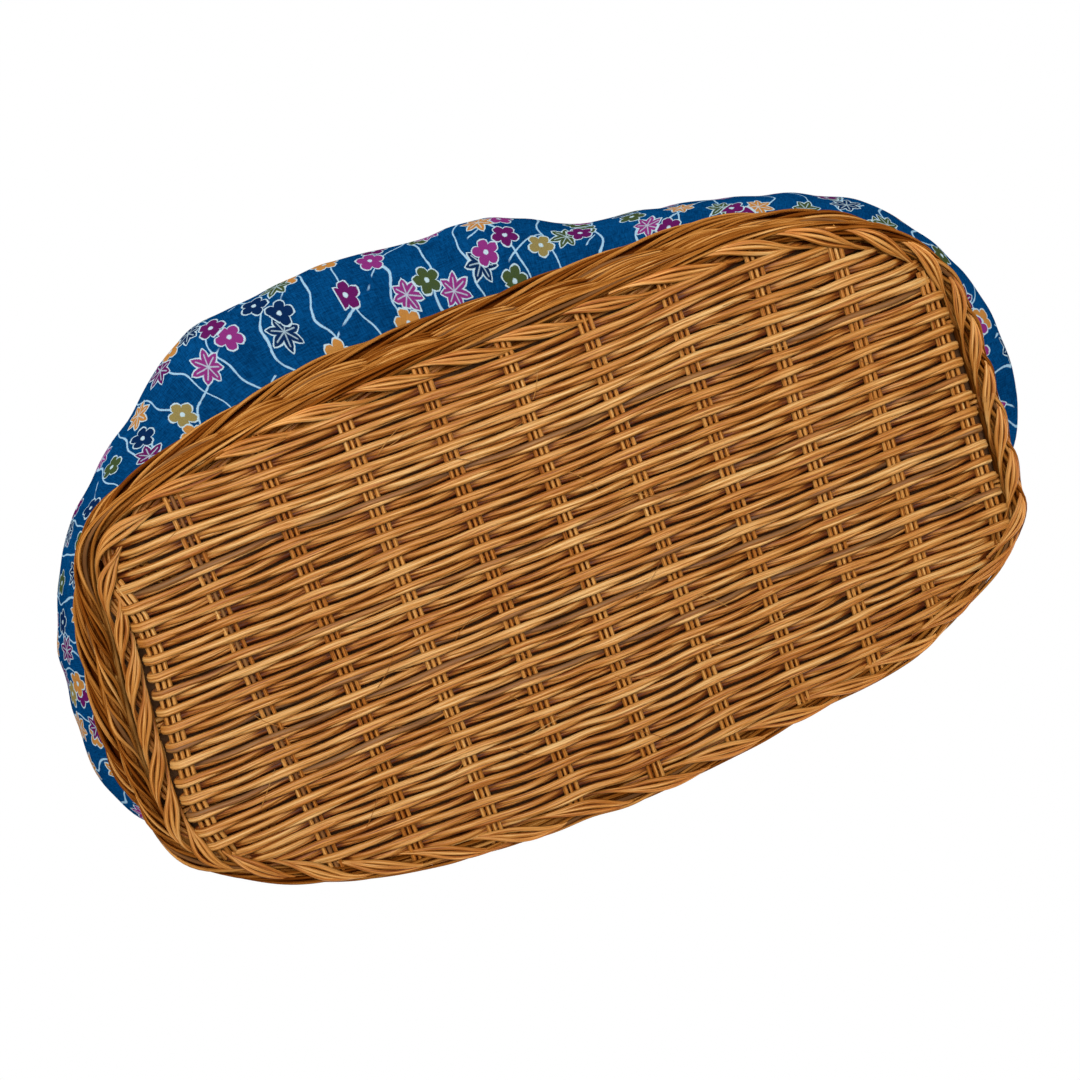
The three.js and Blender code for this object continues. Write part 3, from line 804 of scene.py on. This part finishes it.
def sheet_mesh(name, points, flat, wraps):
    """A cloth from a grid of points and flat coordinates; wraps joins the last column to the first."""
    rows, columns = points.shape[:2]

    def cell(place):
        return round((place.y + 1) / 2 * (rows - 1)), round((place.x + 1) / 2 * (columns - 1))

    shape = bmesh.new()
    layer = shape.loops.layers.uv.new("UVMap")
    bmesh.ops.create_grid(
        shape, x_segments=columns - 1, y_segments=rows - 1, size=1, calc_uvs=True
    )
    for face in shape.faces:
        for loop in face.loops:
            loop[layer].uv = flat[cell(loop.vert.co)]
    for vertex in shape.verts:
        vertex.co = points[cell(vertex.co)]
    if wraps:
        bmesh.ops.remove_doubles(shape, verts=shape.verts, dist=1e-6)
    return mesh_from(shape, name)


def add_sheet(name, points, flat, wraps, finish, hides):
    return add(name, sheet_mesh(name, points, flat, wraps), finish, hides=hides)


def lathe_mesh(name, profile, origin, closed):
    """A turned piece about an axis along X through origin; profile is (along, radius) points."""
    shape = bmesh.new()
    corners = [shape.verts.new(origin + Vector((x, 0, r))) for x, r in profile]
    pairs = list(zip(corners, corners[1:]))
    if closed:
        pairs.append((corners[-1], corners[0]))
    for pair in pairs:
        shape.edges.new(pair)
    bmesh.ops.spin(
        shape, geom=shape.verts[:] + shape.edges[:], cent=origin, axis=(1, 0, 0),
        angle=2 * math.pi, steps=32, use_merge=True,
    )
    bmesh.ops.remove_doubles(shape, verts=shape.verts, dist=1e-6)
    bmesh.ops.recalc_face_normals(shape, faces=shape.faces)
    return mesh_from(shape, name)


# Base weave


def base_row(index, count):
    """Two strands that pass over and under the stakes."""
    y = centred(index, count, ROW_PITCH)
    bar = base_high.x - END_BAR_INSET
    wraps = abs(y) < base_outline.reach_y(bar) - STAKE_WIDTH
    end = bar if wraps else base_outline.reach_x(y) + 2 * STRAND_RADIUS
    steps = max(int(2 * end / stake_pitch * STEPS_PER_STAKE), 6)
    x = np.linspace(-end, end, steps)
    wave = np.cos(np.pi * x / stake_pitch + index * np.pi)
    lie = 1 - 2 * ((1 - wave) / 2) ** FLOAT_POWER
    drift = wander(x, 0.16 * MM, 90 * MM)
    pair = []
    for side in (-1, 1):
        across = y + drift + side * (PAIR_GAP + PAIR_GAP_AT_STAKE * wave ** 2) * MM
        across = across + wander(x, 0.12 * MM, 60 * MM)
        height = WEAVE_LEVEL - WEAVE_DEPTH * lie + (side + 1) * PAIR_LIFT * (1 - wave ** 2)
        height = height + wander(x, 0.1 * MM, 75 * MM)
        if wraps:
            line = wrap_ends(x, across, height, wave)
        else:
            tip = np.clip((np.abs(x) - end + TIP_LENGTH) / TIP_LENGTH, 0, 1)
            line = x, across, height + TIP_RISE * tip
        pair.append(path_of(*line, STRAND_RADIUS * rng.uniform(0.9, 1.08)))
    return pair


def wrap_ends(x, y, z, wave):
    """The ends that lie over an end bar led round its outside and behind it."""
    turn = np.radians(np.linspace(-70, 80, 7))
    reach = STAKE_WIDTH / 2 + STRAND_RADIUS * 0.9
    line = np.array([x, y, z])
    for end, way in ((0, -1), (-1, 1)):
        if wave[end] < 0:
            continue
        wrap = np.array([
            x[end] + way * reach * np.cos(turn),
            np.linspace(y[end], y[end] + way * ROW_PITCH * 0.4, len(turn)),
            WEAVE_LEVEL + (WEAVE_LEVEL - z[end]) * np.sin(turn),
        ])
        line = np.hstack([line, wrap] if way > 0 else [wrap[:, ::-1], line])
    return line


def make_base():
    count = int(2 * (base_high.y - STRAND_RADIUS) / ROW_PITCH)
    rows = [strand for index in range(count) for strand in base_row(index, count)]
    add_strands("base_rows", rows, base_wicker, hides=["base_weave"])


def make_stray_fibres():
    """Splinters that have lifted off the strands of the underside."""
    hairs = []
    for _ in range(STRAY_FIBRES):
        x = rng.uniform(-0.85, 0.85) * base_high.x
        y = rng.uniform(-0.85, 0.85) * base_outline.reach_y(x)
        length = rng.uniform(6, 16) * MM
        lean = rng.gauss(0, 0.5)
        run = np.linspace(0, 1, 9)
        bow = rng.uniform(-0.35, 0.35) * length * run ** 2
        drop = rng.uniform(0.6, 2.0) * MM * np.sin(np.pi * 0.55 * run)
        xs = x + length * run * math.cos(lean) - bow * math.sin(lean)
        ys = y + length * run * math.sin(lean) + bow * math.cos(lean)
        zs = np.maximum(WEAVE_LEVEL - WEAVE_DEPTH - STRAND_RADIUS * 0.9 - drop, 0.15 * MM)
        hairs.append(path_of(xs, ys, zs, np.linspace(*FIBRE_TAPER, len(run)) * MM))
    add_strands("stray_fibres", hairs, wicker)


# Stakes


def rounded(corners, radius):
    """A line through corners, each but the ends rounded off."""
    corners = [np.array(corner) for corner in corners]
    line = [corners[0]]
    for before, here, after in zip(corners, corners[1:], corners[2:]):
        start = here + (before - here) / np.linalg.norm(before - here) * radius
        end = here + (after - here) / np.linalg.norm(after - here) * radius
        for share in np.linspace(0, 1, 6):
            near = start + (here - start) * share
            far = here + (end - here) * share
            line.append(near + (far - near) * share)
    line.append(corners[-1])
    return np.array(line)


def rods_along(line, across):
    """The rods of a stake side by side along a line."""
    rods = []
    for index in range(STAKE_RODS):
        offset = centred(index, STAKE_RODS, ROD_PITCH) + rng.uniform(-0.1, 0.1) * MM
        spread = line + np.array(across) * offset
        rods.append(path_of(*spread.T, ROD_RADIUS * rng.uniform(0.9, 1.08)))
    return rods


def wall_corners(turn_of, level):
    """From the bend at the foot to the rim, for a stake placed by a turn on each outline."""
    points = []
    for z in (level, rim_middle):
        outline = wall_outline(z)
        x, y = outline.plan(np.array(turn_of(outline)))
        points.append((float(x), float(y), z))
    return points


def stake_turns():
    """For each stake in the wall, a function that gives its turn on an outline."""
    found = []
    for index in range(1, CROSS_STAKES - 1):
        x = centred(index, CROSS_STAKES, stake_pitch)
        for side in (-1, 1):
            found.append(lambda outline, x=x, side=side: outline.turn_at_x(x, side))
    for side in (-1, 1):
        for step in (-1, 0, 1):
            y = step * END_STAKE_PITCH
            found.append(lambda outline, y=y, side=side: outline.turn_at_y(y, side))
        for flip in (-1, 1):
            turn = flip * CORNER_STAKE_TURN
            found.append(lambda outline, turn=turn if side > 0 else math.pi - turn: turn)
    return found


def make_stakes():
    """Bundles of rods across the base and up the walls, and the end stakes with their tails inside."""
    rods = []
    for index in range(CROSS_STAKES):
        x = centred(index, CROSS_STAKES, stake_pitch)
        if index in (0, CROSS_STAKES - 1):
            half = base_outline.reach_y(x)
            line = np.array([(x, y, WEAVE_LEVEL) for y in np.linspace(-half, half, 9)])
        else:
            front = wall_corners(lambda outline: outline.turn_at_x(x, -1), WEAVE_LEVEL)
            back = wall_corners(lambda outline: outline.turn_at_x(x, 1), WEAVE_LEVEL)
            line = rounded([*reversed(front), *back], STAKE_BEND)
        rods += rods_along(line, (1, 0, 0))
    tail_level = base_high.z - ROD_RADIUS
    for turn_of in stake_turns()[2 * (CROSS_STAKES - 2):]:
        low, high = wall_corners(turn_of, tail_level)
        outline = wall_outline(tail_level)
        out_x, out_y = outline.outward(low[0], low[1])
        tail = (low[0] - out_x * END_STAKE_TAIL, low[1] - out_y * END_STAKE_TAIL, tail_level)
        rods += rods_along(rounded([tail, low, high], STAKE_BEND), (-out_y, out_x, 0))
    nodes = [name for name in frame["nodes"] if "stake" in name]
    add_strands("stake_rods", rods, shaded_stake_wicker, "dark_wicker", hides=nodes)


# Foot wale, wall and rim


def ring_path(outline, share, outward, z, radius):
    """A closed path beside an outline; outward and z may vary along it."""
    x, y = outline.at(share)
    out_x, out_y = outline.outward(x, y)
    return path_of(x + out_x * outward, y + out_y * outward, z, radius)


def rope(outline, middle, lays, hand, rods, reach, rod_radius, pinch=0.0, stray=(), slack=1.0):
    """Plies of rods laid round each other.

    The lay is given for the long sides and for the ends, and hand is the way the plies turn. With
    pinch, the rods of a ply spread where they show from below and draw together where they pass behind.
    Slack leaves gaps between them.
    """
    fine = np.linspace(0, 1, ROPE_STEPS)
    x, y = outline.at(fine)
    lay = lays[0] + (lays[1] - lays[0]) * np.abs(x / outline.a) ** 5
    turned = summed(outline.length / (ROPE_STEPS - 1) / lay[:-1])
    rounds = max(round(turned[-1]), 1)
    share = around(max(rounds * STEPS_PER_LAY, RING_STEPS))
    laid = np.interp(share, fine, turned / turned[-1]) * rounds * hand
    astray = lobes(*outline.at(share), stray)
    paths = []
    for ply in range(WALE_PLIES):
        turn = 2 * np.pi * (laid + ply / WALE_PLIES)
        shows = 1 - pinch * np.cos(turn) ** 2
        for rod in range(rods):
            spread = centred(rod, rods, 2 * rod_radius) * slack * (0.3 + 0.66 * shows)
            outward = reach * np.cos(turn) - spread * np.sin(turn)
            height = reach * np.sin(turn) + spread * np.cos(turn) * (1 - 0.6 * pinch)
            outward = outward + astray + wander(share, 0.14 * MM, 1 / 11)
            radius = rod_radius * rng.uniform(0.92, 1.05) * (0.66 + 0.34 * shows)
            paths.append(ring_path(outline, share, outward, middle + height, radius))
    return paths


def wale(offset, level, radius, rod_radius, lays, hand, stray, slack):
    reach = radius - rod_radius
    outline = base_outline.grown(offset)
    return rope(outline, level, lays, hand, WALE_RODS, reach, rod_radius, 1, stray, slack)


def make_foot_wale():
    """A rope of rods along the base's edge, and a looser one outside it laid the other way."""
    add_strands("foot_wale_rods", wale(**INNER_WALE), wicker, hides=["foot_wale"], cyclic=True)
    paths = wale(**OUTER_WALE)
    share = around(CORE_STEPS)
    astray = lobes(*base_outline.at(share), OUTER_WALE_STRAY)
    for offset, level, radius, follows in FOOT_CORES:
        paths.append(ring_path(base_outline, share, offset + follows * astray, level, radius))
    add_strands("outer_wale_rods", paths, shaded_band_wicker, cyclic=True)


def make_shoulder():
    """Thin strands that lead from the wale round the foot into the wall, crossing now and then."""
    bend = np.array(SHOULDER_BEND) * MM
    along = run_along(bend)
    share = around(RING_STEPS)
    paths = []
    for row in range(SHOULDER_ROWS):
        drift = wander(share, 0.5 * MM, 1 / rng.choice((7, 9, 11)))
        run = np.clip(row / (SHOULDER_ROWS - 1) * along[-1] + drift, 0, along[-1])
        reach = np.interp(run, along, bend[:, 0])
        reach = reach + wander(share, 0.45 * MM, 1 / rng.choice((8, 10, 13)))
        reach = reach + lobes(*base_outline.at(share), SHOULDER_STRAY)
        height = np.interp(run, along, bend[:, 1])
        radius = SHOULDER_STRAND_RADIUS * rng.uniform(0.85, 1.15)
        paths.append(ring_path(base_outline, share, reach, height, radius))
    add_strands("shoulder_rows", paths, shaded_band_wicker, cyclic=True)


def wall_row(index, count, turns):
    """Two strands round the bag that pass outside and inside the stakes."""
    z = wall_low.z + (index + 0.5) * (wall_high.z - wall_low.z) / count
    outline = wall_outline(z)
    shares = np.sort([outline.share_of(turn_of(outline)) for turn_of in turns])
    places = np.concatenate([[shares[-1] - 1], shares, [shares[0] + 1]])
    share = around(len(shares) * STEPS_PER_STAKE)
    phase = np.interp(share, places, np.arange(-1, len(shares) + 1))
    wave = np.cos(np.pi * (phase + index))
    drift = wander(share, 0.25 * MM, 1 / 5)
    pair = []
    for side in (-1, 1):
        outward = WALL_WEAVE_DEPTH * wave + side * WALL_PAIR_GAP * MM * (1 - wave ** 2)
        outward = outward + wander(share, 0.3 * MM, 1 / rng.choice((4, 5, 7)))
        height = z + drift + side * (WALL_PAIR_GAP + PAIR_GAP_AT_STAKE * wave ** 2) * MM
        height = height + wander(share, 0.1 * MM, 1 / 9)
        radius = WALL_STRAND_RADIUS * rng.uniform(0.88, 1.08)
        pair.append(ring_path(outline, share, outward, height, radius))
    return pair


def make_wall():
    count = round((wall_high.z - wall_low.z) / WALL_ROW_PITCH)
    turns = stake_turns()
    rows = [strand for index in range(count) for strand in wall_row(index, count, turns)]
    add_strands("wall_rows", rows, shaded_wall_wicker, hides=["wall_weave"], cyclic=True)


def make_rim():
    """The rope of rods that closes the wall, round a plain core."""
    reach = rim_radius - RIM_ROD_RADIUS * 1.1
    paths = rope(rim_outline, rim_middle, RIM_LAYS, 1, RIM_RODS, reach, RIM_ROD_RADIUS)
    share = around(CORE_STEPS)
    paths.append(ring_path(rim_outline, share, 0, rim_middle, reach - RIM_ROD_RADIUS * 0.6))
    add_strands("rim_rods", paths, shaded_rim_wicker, hides=["rim_border"], cyclic=True)


# Cloth


def ripple(share, up, folds, drift, seed):
    """Smooth noise that repeats round the bag: folds swells round it, drift changes going up."""
    size = folds / (2 * np.pi)
    angle = 2 * np.pi * share
    return noise.noise((size * math.cos(angle) + seed, size * math.sin(angle), up * drift + seed))


def pouch_levels():
    """Outline, height, outward lean and rise of each ring of the pouch, from its seat to its neck."""
    seat = rim_outline.grown(-SEAT_INSET)
    levels = []
    for share in np.linspace(0, 1, POUCH_UP):
        if share < BULGE_SHARE:
            turn = share / BULGE_SHARE * np.pi / 2
            lean, rise = math.sin(turn), -math.cos(turn)
            outline = seat.mixed(bulge_outline, lean)
            z = pouch_low.z + (BULGE_LEVEL - pouch_low.z) * (1 + rise)
        else:
            turn = (share - BULGE_SHARE) / NECK_SHARE * np.pi / 2
            lean, rise = math.cos(turn), math.sin(turn)
            outline = neck_outline.mixed(bulge_outline, lean)
            z = BULGE_LEVEL + (pouch_high.z - BULGE_LEVEL) * rise
        levels.append((outline, z, lean, rise))
    return levels


def make_pouch():
    """The puffed cloth from the rim up to the mouth, with its lobes and folds."""
    points = np.zeros((POUCH_UP, POUCH_AROUND + 1, 3))
    shares = np.linspace(0, 1, POUCH_AROUND + 1)
    ups = np.linspace(0, 1, POUCH_UP)
    for row, (outline, z, lean, rise) in enumerate(pouch_levels()):
        x, y = outline.at(shares)
        out_x, out_y = outline.outward(x, y)
        up = ups[row]
        gather = max(up - GATHERS_FROM, 0) / GATHERS_REST
        belly = math.sin(min(up / 0.84, 1) * np.pi)
        push = lobes(x, y, LOBES) * belly ** 1.5
        for column, share in enumerate(shares):
            soft = ripple(share, up, *SOFT_FOLDS) * 2.2 * belly
            crease = ripple(share, up, *CREASES) * 2.4 * (0.35 + gather) * (0.45 + belly)
            fine = ripple(share, up, *FINE_GATHERS) * 4.2 * gather ** 1.3
            pleat = ripple(share, up, *PLEATS) * 1.5 * math.exp(-((up - 0.17) / 0.1) ** 2)
            push[column] += (soft + crease + fine + pleat) * MM
        push *= min(up / 0.06, 1)
        flat_lean = max(lean, 0.25)
        height = z + push * rise * 0.8
        x, y = handmade(x + out_x * push * flat_lean, y + out_y * push * flat_lean, height)
        points[row] = np.column_stack([x, y, height])
    steps = np.linalg.norm(np.diff(points, axis=0), axis=2).mean(axis=1)
    length = bulge_outline.length
    flat = flat_grid(shares * length, summed(steps))
    points[:, -1] = points[:, 0]
    pouch = add_sheet("pouch", points, flat, True, crepe, ["pouch_cloth"])
    line_inside(pouch)


def thicken(cloth, thickness, offset):
    wall = cloth.modifiers.new("thickness", "SOLIDIFY")
    wall.thickness = thickness
    wall.offset = offset
    return wall


def line_inside(cloth):
    """Gives a cloth its thickness, with cotton on the inside."""
    cloth.data.materials.append(cotton)
    wall = thicken(cloth, CLOTH_THICKNESS, -1)
    wall.material_offset = 1
    wall.material_offset_rim = 0


def ruche(x, y, row):
    """How far a tunnel's gathers stand out at a place along the bar."""
    coarse = noise.noise((x * 420, row * 0.05, y * 100))
    fine = noise.noise((x * 900, row * 0.11, y * 70))
    return (0.9 * coarse + 0.45 * fine) * MM


def make_tunnel(word):
    """The gathered sleeve round a bar, with its skirt on the pouch."""
    hinge = hinges[word + "_handle"]
    low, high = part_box(word + "_tunnel")
    radius = (high.y - low.y) / 2 - 0.5 * MM
    foot = low.z - 2 * MM - hinge.z
    skirt = [foot + drop * SKIRT_HEIGHT for drop in (0, 0.5, 1)]
    section = [(-SKIRT_GAP, z) for z in skirt]
    for turn in np.radians(np.linspace(222, -42, 25)):
        section.append((radius * math.cos(turn), radius * math.sin(turn)))
    section = np.array(section + [(SKIRT_GAP, z) for z in reversed(skirt)])
    xs = np.linspace(low.x, high.x, 300)
    points = np.zeros((len(section), len(xs), 3))
    for row, (y, z) in enumerate(section):
        out = Vector((y, z)).normalized() if z > -radius * 0.8 else Vector((math.copysign(1, y), 0))
        for column, x in enumerate(xs):
            push = ruche(x, hinge.y, row)
            points[row, column] = (x, hinge.y + y + out.x * push, hinge.z + z + out.y * push)
    flat = flat_grid(xs * TUNNEL_GATHER, run_along(section))
    tunnel = add_sheet(word + "_gathers", points, flat, False, crepe, [word + "_tunnel"])
    thicken(tunnel, CLOTH_THICKNESS, 0)

    # A running stitch below the bar, on both sides
    seam = hinge.z + foot + SEAM_HEIGHT
    dip = np.array([-0.2, 0.2, 0.2, -0.2]) * MM
    stitches = []
    for side, row in ((-1, 2), (1, len(section) - 3)):
        for start in np.arange(low.x + 2 * MM, high.x - 3 * MM, STITCH_PITCH):
            run = start + np.linspace(0, 0.62 * STITCH_PITCH, 4)
            stands = np.array([ruche(x, hinge.y, row) for x in run]) + dip
            y = hinge.y + side * (SKIRT_GAP + CLOTH_THICKNESS / 2 + stands)
            stitches.append(line_path(run, y, seam, STITCH_RADIUS))
    add_strands(word + "_stitches", stitches, thread, "crepe", sides=4)


def ring_sheet(name, rings, turns, slack_at, finish, hides):
    """A cloth through plan outlines, slack inwards on the wall and upwards on the floor."""
    shares = np.linspace(0, 1, len(turns))
    points = np.zeros((len(rings), len(turns), 3))
    for row, (outline, z, on_wall) in enumerate(rings):
        x, y = outline.plan(turns)
        out_x, out_y = outline.outward(x, y)
        slack = np.array([slack_at(share, z) for share in shares])
        inward = slack * on_wall
        x, y = handmade(x - out_x * inward, y - out_y * inward, z)
        points[row] = np.column_stack([x, y, z + slack * (not on_wall)])
    points[:, -1] = points[:, 0]
    flat = np.zeros((*points.shape[:2], 2))
    return add_sheet(name, points, flat, True, finish, hides)


def make_lining():
    """Netting that lines the basket with slack wrinkles, cotton on its inside; its dark brown outside
    is painted shade seen through the weave.
    """
    turns = np.append(rim_outline.even_turns(260), 2 * np.pi)
    floor = lining_low.z + 0.3 * MM
    rings = []
    for share in np.linspace(0, 0.99, 14):
        rings.append((Outline(base_high.x * share, base_high.y * share, BASE_POWERS), floor, False))
    for z in np.linspace(floor + 2.5 * MM, lining_high.z, 16):
        rings.append((wall_outline(z).grown(-LINING_GAP), z, True))

    def slack_at(share, z):
        return abs(ripple(share, z * 30, 40, 1, 2.2)) * 1.1 * MM

    lining = ring_sheet("lining", rings, turns, slack_at, gap_shade_netting, ["basket_lining"])
    line_inside(lining)


def make_tape():
    """The cotton tape inside the rim that the pouch is sewn to."""
    outline = rim_outline.grown(-SEAT_INSET - 0.5 * MM)
    turns = np.append(outline.even_turns(240), 2 * np.pi)
    rings = [(outline, z, True) for z in np.linspace(tape_low.z, tape_high.z, 8)]

    def slack_at(share, z):
        return ripple(share, z * 20, 50, 1, 6.6) * 0.5 * MM

    tape = ring_sheet("tape", rings, turns, slack_at, cotton, ["rim_tape"])
    thicken(tape, TAPE_THICKNESS, -1)


# Handles


def arch_path():
    """The arch in its own plane, as x and height above the bar."""
    turn = np.linspace(0, np.pi, 4000)
    c, s = np.cos(turn), np.sin(turn)
    x = -HANDLE_SPAN / 2 * np.sign(c) * np.abs(c) ** (2 / HANDLE_POWER)
    z = HANDLE_HEIGHT * np.maximum(s, 0) ** (2 / HANDLE_POWER)
    along = summed(np.hypot(np.diff(x), np.diff(z)))
    steps = np.linspace(0, along[-1], 340)
    return np.interp(steps, along, x), np.interp(steps, along, z), steps


def make_handle(word):
    """A bamboo arch that leans in to meet the other one, with its two feet."""
    body = word + "_handle"
    hinge = hinges[body]
    side = math.copysign(1, hinge.y)
    lean = math.asin((abs(hinge.y) - HANDLE_ROD / 2 - HANDLE_MEETING_GAP / 2) / HANDLE_HEIGHT)
    x, z, along = arch_path()
    start = rng.uniform(0.3, 0.7) * NODE_SPACING
    away = (along + start) % NODE_SPACING
    away = np.minimum(away, NODE_SPACING - away)
    ridge = np.exp(-0.5 * (away / (0.9 * MM)) ** 2)
    waist = 0.04 * np.cos(2 * np.pi * (along + start) / NODE_SPACING)
    radius = HANDLE_ROD / 2 * (0.93 + 0.07 * ridge + waist * 0.6)
    sway = wander(along, 0.25 * MM, 140 * MM)
    y = -side * z * math.sin(lean) + sway
    path = line_path(x, hinge.y + y, hinge.z + z * math.cos(lean), radius)
    ring = np.exp(-0.5 * (away / (0.6 * MM)) ** 2)
    hides = [word + "_handle"]
    add_strands(word + "_arch", [path], bamboo, "bamboo", body, hides, sides=16, ring=ring)
    for end in (-1, 1):
        make_handle_foot(word, body, hinge, end, lean * side)


def make_handle_foot(word, body, hinge, end, lean):
    """The eye on the bar and the cane binding above it."""
    name = word + ("_left" if end < 0 else "_right")
    rounding = ((0, EYE_EDGE), (0.3 * EYE_EDGE, 0.3 * EYE_EDGE), (EYE_EDGE, 0))
    profile = [(-EYE_HALF, EYE_BORE)]
    profile += [(-EYE_HALF + inset, EYE_RADIUS - less) for inset, less in rounding]
    profile += [(-x, radius) for x, radius in reversed(profile)]
    origin = hinge + Vector((end * HANDLE_SPAN / 2, 0, 0))
    mesh = lathe_mesh(name + "_eye", profile, origin, True)
    add(name + "_eye", mesh, turned_wood, body)
    turn = np.linspace(0, 2 * np.pi * BINDING_TURNS, BINDING_TURNS * 14)
    rise = np.linspace(BINDING_START, BINDING_START + BINDING_TURNS * BINDING_PITCH, len(turn))
    reach = HANDLE_ROD / 2 + 0.25 * MM
    x = end * HANDLE_SPAN / 2 + reach * np.cos(turn)
    y = reach * np.sin(turn)
    tilted_y = hinge.y + y * math.cos(lean) - rise * math.sin(lean)
    tilted_z = hinge.z + y * math.sin(lean) + rise * math.cos(lean)
    path = line_path(x, tilted_y, tilted_z, BINDING_RADIUS)
    add_strands(name + "_binding", [path], wicker, body=body)


def make_knobs():
    """Turned knobs that keep the eyes on the bars."""
    for word in SIDES:
        hinge = hinges[word + "_handle"]
        for side, end in (("left", -1), ("right", 1)):
            node = f"{word}_{side}_knob"
            low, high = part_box(node)
            radius = (high.y - low.y) / 2
            length = high.x - low.x
            start = Vector((low.x if end > 0 else high.x, hinge.y, hinge.z))
            points = [(end * share * length, radius * width) for share, width in KNOB_PROFILE]
            mesh = lathe_mesh(node + "_turned", [(0, 0)] + points, start, False)
            add(node + "_turned", mesh, turned_wood, hides=[node])


def dress_bars():
    for word in SIDES:
        node = frame["nodes"][word + "_handle_bar"]
        node.data.materials.clear()
        node.data.materials.append(bar_wood)


# Stage


def make_floor():
    shape = bmesh.new()
    bmesh.ops.create_grid(shape, x_segments=1, y_segments=1, size=8)
    floor = link("floor", mesh_from(shape, "floor"))
    floor.location.z = -FLOOR_DROP
    finish = Finish("floor", {"Base Color": (0.88, 0.88, 0.88), "Roughness": 0.9})
    place = finish.place()
    away = finish.node("VectorMath", {0: place}, "Value", operation="LENGTH")
    white = finish.node("Emission", {"Color": (1, 1, 1), "Strength": 1.0})
    far = away.above(0.85, 1.0) * finish.seen()
    pale = finish.node("MixShader", {0: far, 1: finish.shader, 2: white})
    below = finish.node("NewGeometry", out="Backfacing")
    shadow = finish.node("LightPath", out="Is Shadow Ray")
    first = 1 - finish.output(shadow, "Diffuse Depth").above(0.5, 0.01)
    clear = finish.node("BsdfTransparent")
    open_to = below.maths("MAXIMUM", shadow * first)
    finish.show(finish.node("MixShader", {0: open_to, 1: pale, 2: clear}))
    finish.material.cycles.emission_sampling = "NONE"
    floor.data.materials.append(finish.material)


def make_world():
    world = bpy.data.worlds.new("studio")
    scene.world = world
    world.use_nodes = True
    shading = Shading(world.node_tree, "ShaderNodeOutputWorld")
    ambient = shading.node("Background", {"Color": (1, 1, 1), "Strength": 0.55})
    backdrop = shading.node("Background", {"Color": (1, 1, 1), "Strength": 1.0})
    shading.show(shading.node("MixShader", {0: shading.seen(), 1: ambient, 2: backdrop}))


def make_lamp(name, place, power, size):
    data = bpy.data.lights.new(name, "AREA")
    data.energy = power
    data.size = size
    lamp = link(name, data)
    lamp.location = place
    lamp.rotation_euler = (LAMP_TARGET - lamp.location).to_track_quat("-Z", "Y").to_euler()


def make_camera():
    data = bpy.data.cameras.new("camera")
    data.lens = CAMERA_LENS
    data.sensor_width = CAMERA_SENSOR
    data.clip_start = 0.01
    camera = link("camera", data)
    back = CAMERA_RIGHT.cross(CAMERA_UP)
    turn = Matrix((CAMERA_RIGHT, CAMERA_UP, back)).transposed()
    camera.matrix_world = Matrix.Translation(CAMERA_PLACE) @ turn.to_4x4()
    scene.camera = camera


def make_stage():
    make_floor()
    make_world()
    for name, settings in LAMPS.items():
        make_lamp(name, *settings)
    scene.view_settings.view_transform = "Standard"
    make_camera()


make_base()
make_stray_fibres()
make_stakes()
make_foot_wale()
make_shoulder()
make_wall()
make_rim()
make_pouch()
for word in SIDES:
    make_tunnel(word)
make_lining()
make_tape()
for word in SIDES:
    make_handle(word)
make_knobs()
dress_bars()
make_stage()
